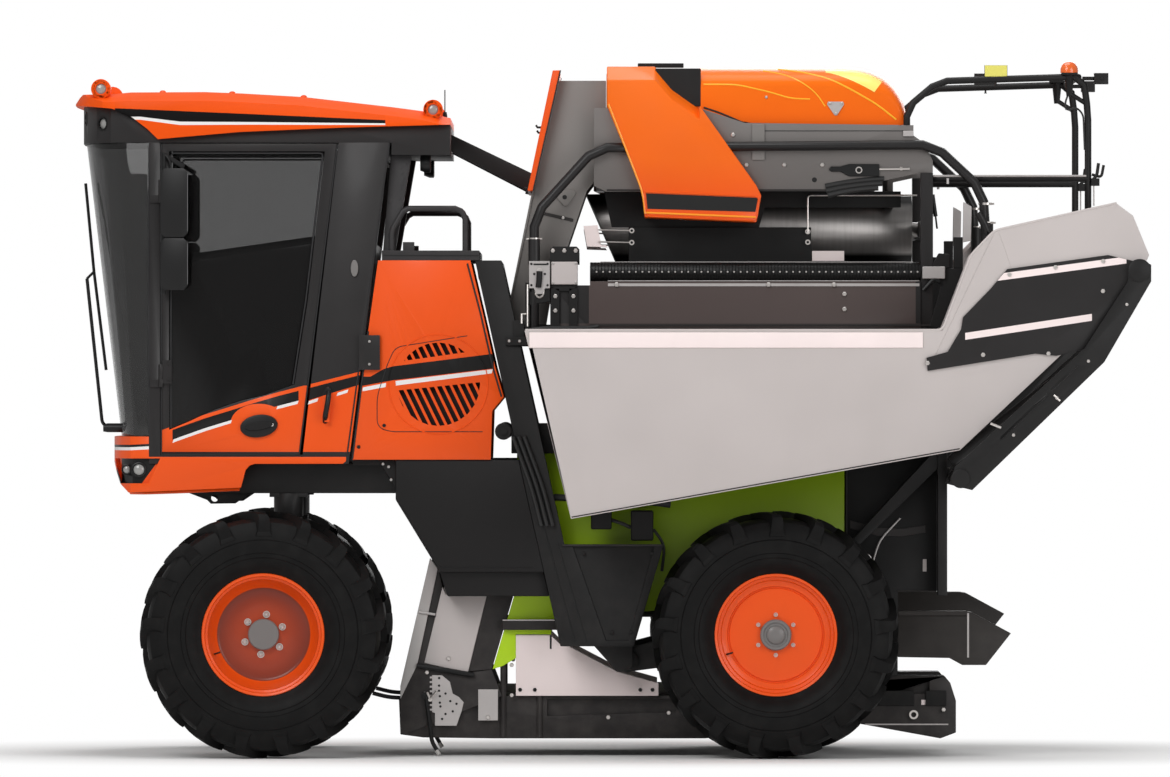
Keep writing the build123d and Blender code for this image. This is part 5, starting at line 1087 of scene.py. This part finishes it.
# The motor box at the front end: a pale cover under a screwed black plate, on two bolted black feet.
BOX_FACE, FOOT_FACE = 0.85, 0.846
make("motor_cover", [brick((-0.298, -0.160), (0.760, BOX_FACE), (2.490, 2.610))], nose_paint.material, bevel=0.004)
make("motor_plate", [cut_out([
    (-0.290, 2.690), (-0.165, 2.690), (-0.150, 2.675), (-0.150, 2.612), (-0.305, 2.612), (-0.305, 2.675),
], 0.800, 0.842)], black_paint, bevel=0.002)
make("motor_feet", [
    cut_out([(-0.300, 2.480), (-0.160, 2.480), (-0.200, 2.455), (-0.262, 2.455)], 0.802, FOOT_FACE),
    *(brick((x, x + 0.045), (0.8305, FOOT_FACE), (2.262, 2.470)) for x in (-0.300, -0.205)),
], black_paint, bevel=0.002)
make("motor_bolts", [
    bolts(0.012, 0.008, 0.842, [(-0.290, 2.668), (-0.230, 2.668), (-0.170, 2.668)]),
    bolts(0.012, 0.008, FOOT_FACE, [(-0.277, 2.428), (-0.182, 2.428), (-0.277, 2.352), (-0.182, 2.352)]),
], nut_steel)
cover_screws = [(x, z) for x in (-0.288, -0.170) for z in (2.500, 2.600)]
make("motor_cover_screws", [bolts(0.006, 0.004, BOX_FACE, cover_screws)], zinc)

# Beside it a bare hinge plate holds a shackle on its spigot, with a rubber buffer and a ring below.
HINGE_FACE = 0.858
make("hinge_plate", [cut_out([
    (-0.415, 2.613), (-0.306, 2.613), (-0.306, 2.470), (-0.330, 2.470), (-0.345, 2.440), (-0.375, 2.440),
    (-0.390, 2.470), (-0.415, 2.470),
], 0.852, HINGE_FACE)], bare_sheet, bevel=0.001)
make("hinge_plate_holes", [repeated(hole, at([
    (-0.403, 2.598), (-0.318, 2.598), (-0.403, 2.486), (-0.318, 2.486), (-0.388, 2.545), (-0.332, 2.545),
], HINGE_FACE))], screen_and_shade_black)
make("shackle", [
    tube(looped((-0.360, 2.452), 0.021, 0.030, 0.848, 25), 0.006, upward=(0, 0.2, 1)),
    spun([(0.0, 0.016), (0.008, 0.016), (0.010, 0.0)], (-0.360, -HINGE_FACE, 2.560), steps=20),
], nut_steel)
make("shackle_buffer", [
    tube([(-0.360, -0.866, 2.560), (-0.362, -0.866, 2.515), (-0.366, -0.862, 2.475)], 0.016, sides=12),
    brick((-0.392, -0.322), (0.852, 0.862), (2.592, 2.600)),
], soft_black, bevel=0.001)
make("corner_brackets", [
    cut_out([(-0.420, 2.45), (-0.306, 2.47), (-0.306, 2.40), (-0.420, 2.38)], 0.80, 0.846),
    brick((-0.50, -0.44), (0.76, 0.85), (2.20, 2.30)), brick((-0.435, -0.415), (0.80, 0.86), (2.26, 2.50)),
    brick((-0.54, -0.40), (0.78, 0.86), (2.170, 2.215)),
], black_paint, bevel=0.003)
make("corner_pins", [
    tube([(-0.455, 2.285), (-0.455, 2.335), (-0.430, 2.335)], 0.006, 0.866),
    tube([(-0.424, 2.27), (-0.424, 2.49)], 0.0045, 0.862),
    bolts(0.008, 0.006, 0.86, [(-0.520, 2.192), (-0.465, 2.192), (-0.42, 2.192)]),
], nut_steel)
make("corner_cable", [tube([
    (-0.40, -0.855, 2.255), (-0.33, -0.858, 2.262), (-0.20, -0.858, 2.262), (-0.10, -0.852, 2.262),
    (-0.05, -0.85, 2.270),
], 0.010, cut=0.03)], rubber)

# Under the housing the two threshing drums are rolled from bare steel, with dark guard sheets outside them.
drum_steel = Finish("drum_steel", (0.30, 0.285, 0.275), rough=0.34, metal=0.75)
rolled = drum_steel.noise(4.0, 3.0, place=drum_steel.stretched(12, 1, 1)).ramp(0.4, 0.8)
drum_steel.paint_over(rolled * 0.5, (0.20, 0.19, 0.185))
# The drums are painted near black towards their top and their foot: painted shade.
drum_steel.paint_over(drum_steel.z.ramp(2.84, 2.93), (0.012, 0.012, 0.012))
drum_steel.paint_over(1 - drum_steel.z.ramp(2.645, 2.665), (0.010, 0.010, 0.010))
finish_node("threshing_drums", drum_steel.done(), 0.002, 60)
make("drum_guards", [brick((0.110, 1.075), (0.560, 0.575), (2.612, 2.795))], shield_black, bevel=0.002)
guard = [(-0.02, 2.985), (1.55, 2.985), (1.55, 2.90), (0.83, 2.90), (0.80, 2.795), (0.02, 2.795)]
make("drum_shades", [cut_out(guard, 0.545, 0.556)], shield_black)
make("drum_fittings", [
    cut_out([
        (-0.128, 2.800), (-0.055, 2.805), (-0.035, 2.700), (-0.010, 2.700), (-0.002, 2.688), (-0.110, 2.692),
    ], 0.62, 0.66),
], skirt_paint, bevel=0.001)
EYE = (0.014, 0.007, 0.006)
eyes = []
for eye_z in (2.776, 2.713):
    eyes.append(tube([(-0.05, eye_z + 0.004), (0.126 - EYE[0], eye_z)], 0.0042, 0.668))
    eyes.append(washer(*EYE, (0.126, -0.665, eye_z), 20))
eyes.append(tube([(1.057, 2.765), (1.057, 2.963), (1.635, 2.963)], 0.0045, 0.60, 0.02))
eyes += [washer(*EYE, (1.057, -0.597, eye_z), 20) for eye_z in (2.772, 2.716)]
make("drum_rods", eyes, nut_steel)
make("guard_bare_plate", [brick((1.080, 1.250), (0.560, 0.566), (2.617, 2.670))], skirt_paint, bevel=0.001)

# The front casing of the top unit: leaning cheeks of grey sheet with a stiffening seam and a three-cornered
# bracket, closed in front by an orange sheet with a turned edge.
CASING = (0.205, 0.192, 0.182)
casing_paint = paint("casing_paint", CASING, 0.36, 0.1, dust=0.05)
# The cheeks are painted darker towards their foot: painted shade.
casing_paint.paint_over((1 - casing_paint.z.ramp(2.70, 3.15)) * 0.55, (0.100, 0.090, 0.084))
casing_paint = casing_paint.done()
finish_node("front_casing", casing_paint)
finish_node("front_sheet", paint("sheet_orange", ORANGE, 0.32, 0.15, dust=0.04).done(), 0.004)
CHEEK_OUT = 0.690
edge_line = [(-0.262, 3.567), (-0.394, 2.985), (-0.536, 2.290)]
make("casing_edge", [tube(edge_line, 0.006, CHEEK_OUT + 0.004)], casing_paint)
three_corner = [
    (-0.282, 2.990), (-0.176, 2.990), (-0.166, 2.975), (-0.214, 2.905), (-0.232, 2.905), (-0.290, 2.972),
]
make("casing_bracket", [cut_out(three_corner, CHEEK_OUT, CHEEK_OUT + 0.012)], casing_paint, bevel=0.003)
make("casing_seam", [
    cut_out([(-0.369, 2.882), (-0.182, 2.838), (-0.185, 2.822), (-0.372, 2.866)], CHEEK_OUT, CHEEK_OUT + 0.006),
], rail_dark, bevel=0.001)
make("casing_bolts", [bolts(0.009, 0.006, CHEEK_OUT + 0.006, [(-0.342, 2.868), (-0.236, 2.843)])], nut_steel)
make("casing_hole", [disc(0.012, 0.0015, (-0.228, -CHEEK_OUT - 0.012, 2.952), 20)], screen_and_shade_black)
make("sheet_hooks", [
    tube([(-0.350, 3.322), (-0.372, 3.322), (-0.380, 3.334)], 0.006, 0.62),
    tube([(-0.418, 2.995), (-0.442, 3.0)], 0.008, 0.62),
], soft_black)
make("sheet_edge", [tube([(-0.250, 3.620), (-0.262, 3.567), (-0.394, 2.985)], 0.0035, 0.762, sides=6)], seal_rubber)

# The top housing: folded grey side sheets with pressed-in nuts, a strap over the guard rail, a latch arm
# with its draw rod, and a pleated rubber sleeve over the drum shafts.
housing_paint = paint("housing_paint", (0.175, 0.162, 0.155), 0.38, 0.1, dust=0.06)
# The side sheets are painted darker towards their foot: painted shade.
housing_paint.paint_over((1 - housing_paint.z.ramp(3.00, 3.30)) * 0.5, (0.090, 0.080, 0.075))
housing_paint = housing_paint.done()
finish_node("top_housing", housing_paint)
SIDE = 0.79
make("housing_strap", [cut_out([
    (0.759, 3.336), (0.826, 3.336), (0.826, 3.146), (0.759, 3.146),
], SIDE, SIDE + 0.010)], casing_paint, bevel=0.003)
make("housing_bolts", [bolts(0.012, 0.007, SIDE, [
    (0.659, 3.279), (0.730, 3.121), (0.929, 3.121), (1.129, 3.121),
])], nut_steel)
make("housing_holes", [
    disc(0.013, 0.0015, (1.088, -SIDE, 3.042), 20),
    disc(0.018, 0.0015, (0.640, -SIDE, 3.160), 20),
], screen_and_shade_black)
latch = [
    (1.163, 3.098), (1.175, 3.085), (1.225, 3.085), (1.270, 3.060), (1.430, 3.060), (1.430, 3.125), (1.270, 3.125),
    (1.225, 3.112), (1.175, 3.112)]
make("latch_arm", [cut_out(latch, SIDE, SIDE + 0.014)], soft_black, bevel=0.004)
make("latch_fittings", [
    washer(0.018, 0.012, 0.006, (1.322, -SIDE - 0.014, 3.093), 24),
    tube([(1.430, 3.098), (1.590, 3.100)], 0.006, SIDE + 0.010),
    bolts(0.012, 0.010, SIDE, [(1.545, 3.100)]),
], nut_steel)
share = np.linspace(0, 1, 7)
pleats = []
for row, (start, end, drop) in enumerate(((1.145, 1.455, 0.016), (1.150, 1.445, 0.040), (1.158, 1.425, 0.064))):
    sag = np.stack([
        start + (end - start) * share, 0 * share - SIDE + 0.004,
        3.052 - drop - 0.028 * (1 - share) ** 2 + 0.012 * share,
    ], -1)
    pleats.append(tube(sag, 0.015, sides=10))
make("pleated_sleeve", pleats, rubber)
make("housing_foot", [brick((-0.006, 1.21), (SIDE, SIDE + 0.004), (2.982, 2.992))], rail_dark)
make("housing_crease", [tube([(0.800, 3.30), (1.575, 3.30)], 0.002, SIDE + 0.001, sides=6)], seal_rubber)
make("rear_latch", [brick((1.555, 1.61), (SIDE, SIDE + 0.012), (3.270, 3.300))], bare_sheet, bevel=0.003)

# Two air ducts of orange fibreglass blow over the tables; each widens to a flat mouth with a rolled lip.
FIBREGLASS = (0.88, 0.135, 0.004)
duct_paint = paint("duct_paint", FIBREGLASS, 0.28, 0.2, dust=0.03)
# The ducts are painted lighter towards their top and darker towards their foot: painted highlight and painted
# shade.
duct_paint.paint_over(duct_paint.z.ramp(3.2, 3.6) * 0.5, (0.92, 0.175, 0.006))
duct_paint.paint_over(1 - duct_paint.z.ramp(2.95, 3.15), (0.83, 0.095, 0.004))
duct_paint = duct_paint.done()
finish_node("fan_chutes", duct_paint, 0.010, 20)
# A black sheet fills each mouth: painted shade of the duct's dark inside.
make("duct_mouth", [cut_out([
    (0.200, 2.970), (0.790, 2.946), (0.776, 2.872), (0.208, 2.888),
], 0.8505, 0.8515)], screen_and_shade_black)
# The gold tubes along the ducts' edges are painted highlights.
edge_highlight = Finish("edge_highlight", (0.95, 0.32, 0.02), rough=0.25, coat=0.3, specular=0.3).done()
make("duct_edges", [
    tube([(0.003, 3.440), (0.184, 2.974), (0.196, 2.862)], 0.0055, 0.851, 0.06),
    tube([(0.200, 2.868), (0.778, 2.844)], 0.006, 0.852),
], edge_highlight)
make("duct_lip", [tube([
    (0.196, 2.978), (0.798, 2.953), (0.782, 2.826), (0.200, 2.850), (0.190, 2.970),
], 0.0045, 0.852, 0.03)], duct_paint)
make("duct_latch", [
    brick((0.158, 0.400), (0.60, 0.66), (3.637, 3.660)), brick((0.250, 0.490), (0.745, 0.751), (3.430, 3.630)),
], black_paint, bevel=0.003)

# The hood behind the ducts is orange fibreglass with flowing creases and a three-cornered latch plate.
# Its top is painted lighter, its creases gold and its rolled rear corner pale yellow: painted highlights.
hood = Finish("hood_gel", FIBREGLASS, rough=0.32, coat=0.05, specular=0.15)
# The gelcoat is painted lighter towards the top: painted highlight.
hood.paint_over(hood.z.ramp(3.35, 3.62) * 0.7, (0.93, 0.185, 0.006))
hood.paint_over(hood.noise(2.5, 3.0).ramp(0.4, 0.7) * 0.15, (0.80, 0.095, 0.004))
hood.bump(hood.noise(500.0, 2.0), 0.03, 0.0004)
hood = hood.done()
HOOD_FACE = 0.75
HOOD_START, TAIL_START, HOOD_END = 0.484, 1.20, 1.5795
TAIL_Z, HOOD_Z = 3.350, 3.6405
CROWN_IN, CROWN_OUT, CROWN_FALL = 0.40, HOOD_FACE - 0.0005, 0.110


def hood_roof(x):
    """Height of the hood's middle line: flat, then down to the tail by the power curve t^3 + h^2 = 1."""
    tail = np.clip((np.array(x, float) - TAIL_START) / (HOOD_END - TAIL_START), 0, 1)
    return TAIL_Z + (HOOD_Z - TAIL_Z) * np.sqrt(1 - tail**3)


def hood_out(x, z):
    """Distance out at which the crowned roof has the height z: the crown is the power curve s^2.4 + h^2.4 = 1."""
    left_of = np.clip(1 - (hood_roof(x) - np.array(z, float)) / CROWN_FALL, 0, 1)
    return CROWN_IN + (CROWN_OUT - CROWN_IN) * (1 - left_of**2.4) ** (1 / 2.4)


def hood_solid():
    """The hood as a closed grid over x and y: the crowned roof above, the cut line of its foot below."""
    turned = np.sin(np.linspace(0, np.pi / 2, 26)[1:])
    x = np.concatenate([np.linspace(HOOD_START, TAIL_START, 14), TAIL_START + (HOOD_END - TAIL_START) * turned])
    share = np.sin(np.linspace(0, np.pi / 2, 20))
    y = np.concatenate([[0.0, 0.2], CROWN_IN + (CROWN_OUT - CROWN_IN) * share])
    y = np.concatenate([-y[:0:-1], y])
    side = np.clip((np.abs(y) - CROWN_IN) / (CROWN_OUT - CROWN_IN), 0, 1)
    fall = CROWN_FALL * (1 - (1 - side**2.4) ** (1 / 2.4))
    foot = np.interp(x, [HOOD_START, 0.53, 0.745, 1.55, HOOD_END], [3.412, 3.395, 3.342, 3.331, 3.345])
    top = np.maximum(hood_roof(x)[:, None] - fall[None, :], foot[:, None] + 0.004)
    grid = np.zeros((2, len(x), len(y), 3))
    grid[..., 0], grid[..., 1] = x[None, :, None], y[None, None, :]
    grid[0, ..., 2], grid[1, ..., 2] = top, foot[:, None]
    count = len(x) * len(y)
    index = np.arange(count).reshape(len(x), len(y))
    rim = np.concatenate([index[0, :], index[1:, -1], index[-1, -2::-1], index[-2:0:-1, 0]])
    wall = np.stack([rim, np.roll(rim, -1), np.roll(rim, -1) + count, rim + count], -1).tolist()
    one = grid_faces(len(x), len(y))
    return grid.reshape(-1, 3), one + [[corner + count for corner in face] for face in one] + wall


def on_hood(points, proud=0.0005):
    """Carries (x, z) pairs out to the hood's left face."""
    points = np.array(points, float)
    return np.stack([points[:, 0], -hood_out(points[:, 0], points[:, 1]) - proud, points[:, 1]], -1)


shell = make("hood_shell", [hood_solid()], hood, sides=(-1,), sharp=50)
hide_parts("top_hood")
# The gold creases and the pale yellow patch are painted highlights.
gold = Finish("hood_crease_highlight", (0.98, 0.48, 0.03), rough=0.3, coat=0.2, specular=0.3).done()
pale_gold = Finish("hood_sheen_highlight", (0.98, 0.82, 0.20), rough=0.35, coat=0.2, specular=0.3).done()
creases = (
    ([(0.504, 3.546), (0.68, 3.545), (0.861, 3.504), (0.96, 3.472), (1.066, 3.468)], 0.004),
    ([(0.820, 3.620), (0.93, 3.600), (1.02, 3.560), (1.10, 3.500), (1.145, 3.430)], 0.0035),
    ([(0.900, 3.628), (1.03, 3.612), (1.17, 3.575), (1.281, 3.520), (1.42, 3.440), (1.52, 3.360)], 0.005),
)
lines = []
for points, radius in creases:
    smooth = bent([(x, 0.0, z) for x, z in points], 0.05)
    lines.append(tube(on_hood(smooth[:, ::2]), radius, sides=6))
make("hood_creases", lines, gold)
share = np.linspace(0, 1, 16)[:, None]
top_edge = np.concatenate([1.150 + 0.300 * share, 3.628 - 0.062 * share**3], 1)
low_edge = np.concatenate([1.150 + 0.255 * share, 3.610 - 0.105 * share**1.4], 1)
sheet = np.stack([on_hood(low_edge + (top_edge - low_edge) * step, 0.0012) for step in np.linspace(0, 1, 8)])
make("hood_sheen", [(sheet.reshape(-1, 3), grid_faces(8, 16))], pale_gold)
latch_plate = [(1.160, 3.455), (1.240, 3.455), (1.245, 3.440), (1.208, 3.382), (1.195, 3.382), (1.155, 3.440)]
make("hood_latch_plate", [cut_out(latch_plate, HOOD_FACE, HOOD_FACE + 0.006)], bare_sheet, bevel=0.002)
make("hood_screws", [
    bolts(0.008, 0.005, HOOD_FACE, [(0.835, 3.478)]),
    bolts(0.008, 0.005, HOOD_FACE + 0.006, [(1.170, 3.445), (1.232, 3.445), (1.202, 3.392)]),
], nut_steel)
make("hood_seal", [tube([
    (0.505, 3.424), (0.580, 3.400), (0.745, 3.330), (1.53, 3.326),
], 0.005, HOOD_FACE + 0.001, 0.03, sides=6)], seal_rubber)

# Guard rails of bent black tube run round the top unit and are clamped at their feet.
RAIL_BLACK = (0.0165, 0.0155, 0.0158)
rail_black = paint("rail_black", RAIL_BLACK, 0.36, 0.1, dust=0.03).done()
finish_node("guard_rails", rail_black, 0.001, 60)
RAIL_OUT = 0.825
clamp_rings = []
for clamp_x, clamp_z in ((-0.388, 2.730), (1.992, 2.915), (2.0, 2.815)):
    clamp_rings.append(spun([
        (-0.006, 0.025), (-0.006, 0.030), (0.006, 0.030), (0.006, 0.025),
    ], (clamp_x, -RAIL_OUT, clamp_z), "z", 28, closed=True))
    clamp_rings.append(tube([
        (clamp_x - 0.042, clamp_z), (clamp_x + 0.042, clamp_z),
    ], 0.005, RAIL_OUT, upward=(0, 0, 1)))
make("rail_clamps", clamp_rings, nut_steel)
make("rail_sleeves", [
    spun([
        (-0.13, 0.026), (-0.13, 0.031), (0.004, 0.031), (0.004, 0.026),
    ], (-0.388, -RAIL_OUT, 2.725), "z", 24, closed=True),
    spun([
        (-0.10, 0.026), (-0.10, 0.031), (0.010, 0.031), (0.010, 0.026),
    ], (1.998, -RAIL_OUT, 2.805), "z", 24, closed=True),
], rail_black)

# The gantry of black tube over the bins carries the beacon, a plain yellow plate and a lamp box.
finish_node("rear_gantry", black_paint, 0.001, 60)
beacon_cap = Finish("beacon_amber", (0.80, 0.13, 0.012), rough=0.14, coat=0.6)
rings = beacon_cap.node("ShaderNodeTexWave", {"bands_direction": "Z"}, 1, Vector=beacon_cap.place, Scale=40.0)
beacon_cap.bump(rings, 0.25, 0.001)
beacon_cap = beacon_cap.done()
BEACON = (2.431, -0.777, 3.606)
dome_r = 0.047 * np.sqrt(np.clip(1 - (np.linspace(0, 1, 12) ** 2.6), 0, 1))
dome = np.stack([0.006 + 0.0545 * np.linspace(0, 1, 12), dome_r], -1)
dome = np.concatenate([[(0.0, 0.0), (0.0, 0.0468)], dome])
cap = make("beacon_dome", [spun(dome, BEACON, "z", 40)], beacon_cap, sides=(-1,))
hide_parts("beacon")
# The gold cone on the dome is a painted highlight.
make("beacon_shine", [spun([(0.0, 0.0), (0.030, 0.012), (0.040, 0.0)], BEACON, "z", 20)], edge_highlight, sides=(-1,))
plate_yellow = paint("plate_yellow", (0.80, 0.74, 0.16), 0.4, 0.1, dust=0.05).done()
yellow = brick((1.986, 2.103), (0.7805, 0.784), (3.586, 3.645))
make("gantry_plate", [yellow], plate_yellow, sides=(-1,), bevel=0.001)
make("gantry_bolts", [
    spun([(-0.004, 0.008), (0.0, 0.008), (0.0, 0.0)], (2.045, -0.777, 3.542), "z", 6),
    tube([(2.045, 3.540), (2.045, 3.562)], 0.005, 0.777),
    bolts(0.009, 0.006, 0.812, [(2.602, 3.575)]),
    bolts(0.009, 0.006, 0.789, [(2.55, 3.576)]),
], soft_black)
make("stay_rods", [
    tube([(1.715, 3.062), (2.520, 3.062)], 0.006, 0.795),
    tube([(1.790, 3.020), (1.790, 3.050)], 0.007, 0.795),
    tube([(2.560, 2.905), (2.560, 3.03)], 0.004, 0.790),
], bare_sheet)
make("rear_hooks", [
    tube([(2.55, -0.785, 3.04), (2.575, -0.79, 3.06), (2.585, -0.79, 3.13)], 0.009, cut=0.02),
    tube([(2.55, -0.785, 3.07), (2.60, -0.79, 3.055), (2.612, -0.79, 3.12)], 0.008, cut=0.02),
    brick((2.546, 2.590), (0.77, 0.80), (3.01, 3.05)),
], black_paint, bevel=0.002)
make("beacon_cable", [tube([
    (2.425, -0.779, 3.49), (2.405, -0.785, 3.44), (2.42, -0.785, 3.40), (2.46, -0.785, 3.43),
    (2.505, -0.782, 3.39), (2.512, -0.785, 3.20),
], 0.005, cut=0.03)], rubber, sides=(-1,))

# Behind the drums: a gas spring, a bent arm and a pale bracket that belong to the cover over the spouts.
make("gas_springs", [
    tube([(1.712, 2.965), (1.728, 2.85)], 0.011, 0.735, sides=12),
    tube([(1.728, 2.85), (1.736, 2.785)], 0.005, 0.735),
], soft_black)
make("spout_arms", [tube([
    (1.948, 2.868), (1.992, 2.800), (2.015, 2.700), (2.005, 2.610), (1.900, 2.390),
], 0.022, 0.842, 0.07, sides=14)], rail_black)
make("spout_brackets", [
    cut_out([(1.872, 2.925), (1.915, 2.900), (1.912, 2.720), (1.868, 2.712)], 0.795, 0.835),
], bare_sheet, bevel=0.003)
make("post_boxes", [
    cut_out([(1.712, 2.600), (1.742, 2.655), (1.800, 2.650), (1.800, 2.580), (1.712, 2.560)], 0.75, 0.83),
    cut_out([
        (1.745, 2.575), (1.895, 2.575), (1.895, 2.400), (1.780, 2.262), (1.690, 2.262), (1.745, 2.450),
    ], 0.76, 0.825),
    brick((1.820, 1.870), (0.77, 0.81), (2.575, 2.740)),
], black_paint, bevel=0.004)
make("post_lamp", [brick((1.655, 1.775), (0.832, 0.850), (2.520, 2.585))], bare_sheet, bevel=0.005)
make("post_strap", [tube([
    (1.66, -0.836, 2.46), (1.715, -0.840, 2.52), (1.745, -0.840, 2.50),
], 0.012, cut=0.02)], soft_black)

# The cab brace: a black strut between the roof and the top unit with a small gas spring under it.
brace_black = paint("brace_black", RAIL_BLACK, 0.4, 0.05, dust=0.02).done()
finish_node("cab_brace", brace_black, 0.002)
make("brace_rod", [tube([(-0.560, 3.095), (-0.430, 3.005)], 0.0065, 0.28)], bare_sheet)

# Mirrors: moulded black shells on a tube with two clamps; their glass faces the driver.
for place, side in SIDES:
    body = f"cab_door_{place}"
    finish_node(f"mirror_{place}", soft_black, 0.014, 40)
    mirror_glass = Finish(f"mirror_glass_{place}", (0.75, 0.75, 0.76), rough=0.05, metal=1.0).done()
    make(f"mirror_glasses_{place}", [
        brick((-2.2105, -2.2085), (0.920, 0.952), heights) for heights in ((2.770, 3.070), (2.490, 2.705))
    ], mirror_glass, body, (side,))
    make(f"mirror_clamps_{place}", [
        brick((-2.349, -2.322), (0.862, 0.925), (2.745, 2.790)),
        brick((-2.349, -2.322), (0.862, 0.925), (2.560, 2.600)),
        tube([
            (-2.336, -0.905, 3.175), (-2.300, -0.915, 3.150), (-2.296, -0.915, 2.62), (-2.325, -0.905, 2.57),
        ], 0.007, cut=0.04, sides=10),
    ], soft_black, body, (side,), 0.002)
    make(f"mirror_hood_{place}", [cut_out([
        (DOOR_FRONT, 3.196), (-2.225, 3.120), (-2.235, 3.095), (-2.345, 3.165),
    ], 0.852, 0.900)], soft_black, body, (side,), 0.004)

# The studio: a pale floor, soft lamps all round and a camera far off on the left side that frames the
# machine as a plain side view. Seen by the camera or through glass, the world is plain white.
floor_mesh = bpy.data.meshes.new("studio_floor")
floor_mesh.from_pydata([(-40, -40, 0), (40, -40, 0), (40, 40, 0), (-40, 40, 0)], [], [(0, 1, 2, 3)])
floor = linked("studio_floor", floor_mesh)
# Close to the machine the floor takes its shadow; further out the camera sees it fade to the white behind.
pale = Finish("floor_pale", (0.90, 0.895, 0.89), rough=0.95, specular=0.0)
PURE_WHITE = (1.0, 1.0, 1.0, 1.0)
glow = pale.tree.nodes.new("ShaderNodeEmission")
glow.inputs["Color"].default_value = PURE_WHITE
fade = pale.tree.nodes.new("ShaderNodeMixShader")
from_middle = ((pale.x / 3.6) * (pale.x / 3.6) + (pale.y / 2.2) * (pale.y / 2.2)).math("POWER", 0.5)
seen = pale.node("ShaderNodeLightPath", output="Is Camera Ray") * from_middle.ramp(0.75, 1.25)
pale.tree.links.new(seen.link, fade.inputs[0])
pale.tree.links.new(pale.shader.outputs[0], fade.inputs[1])
pale.tree.links.new(glow.outputs[0], fade.inputs[2])
pale.tree.links.new(fade.outputs[0], pale.tree.nodes["Material Output"].inputs["Surface"])
floor_mesh.materials.append(pale.done())
floor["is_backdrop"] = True
world = bpy.data.worlds.new("studio")
scene.world = world
world.use_nodes = True
tree = world.node_tree
lit, white = tree.nodes["Background"], tree.nodes.new("ShaderNodeBackground")
lit.inputs["Color"].default_value = PURE_WHITE
lit.inputs["Strength"].default_value = 0.42
white.inputs["Color"].default_value = PURE_WHITE
white.inputs["Strength"].default_value = 1.0
ray, blend = tree.nodes.new("ShaderNodeLightPath"), tree.nodes.new("ShaderNodeMixShader")
seen = Socket(tree, ray.outputs["Is Camera Ray"]) + Socket(tree, ray.outputs["Is Transmission Ray"])
tree.links.new(seen.clamp().link, blend.inputs[0])
tree.links.new(lit.outputs[0], blend.inputs[1])
tree.links.new(white.outputs[0], blend.inputs[2])
tree.links.new(blend.outputs[0], tree.nodes["World Output"].inputs["Surface"])
# columns: name, place, size, watts; each is turned towards the middle of the machine
MIDDLE = np.array([0.0, 0.0, 1.8])
for name, place, size, watts in (
    ("key", (-5.0, -9.0, 8.0), 6.0, 520.0),
    ("fill", (7.0, -9.0, 4.0), 6.0, 270.0),
    ("top", (0.0, 0.0, 10.0), 7.0, 330.0),
    ("back", (3.0, 10.0, 6.0), 6.0, 320.0),
):
    data = bpy.data.lights.new(name, "AREA")
    data.shape = "DISK"
    data.size = size
    data.energy = watts
    lamp = linked(name, data)
    lamp.location = place
    towards = MIDDLE - np.array(place)
    flat = math.hypot(towards[0], towards[1])
    lamp.rotation_euler = (math.atan2(flat, -towards[2]), 0.0, math.atan2(towards[1], towards[0]) - math.pi / 2)

MM_PER_PIXEL = 5.25
FRAME_WIDTH, FRAME_HEIGHT = 1170, 777
MIDDLE_PX, GROUND_PY = 608.0, 758.5
AWAY = 60.0
view = bpy.data.cameras.new("camera")
view.sensor_width = 36.0
view.lens = 36.0 * (AWAY - 1.0) / (FRAME_WIDTH * MM_PER_PIXEL / 1000)
view.clip_end = 500.0
camera = linked("camera", view)
camera.location = (
    (FRAME_WIDTH / 2 - MIDDLE_PX) * MM_PER_PIXEL / 1000,
    -AWAY,
    (GROUND_PY - FRAME_HEIGHT / 2) * MM_PER_PIXEL / 1000,
)
camera.rotation_euler = (math.pi / 2, 0.0, 0.0)
scene.camera = camera
scene.view_settings.view_transform = "Standard"

low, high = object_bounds()
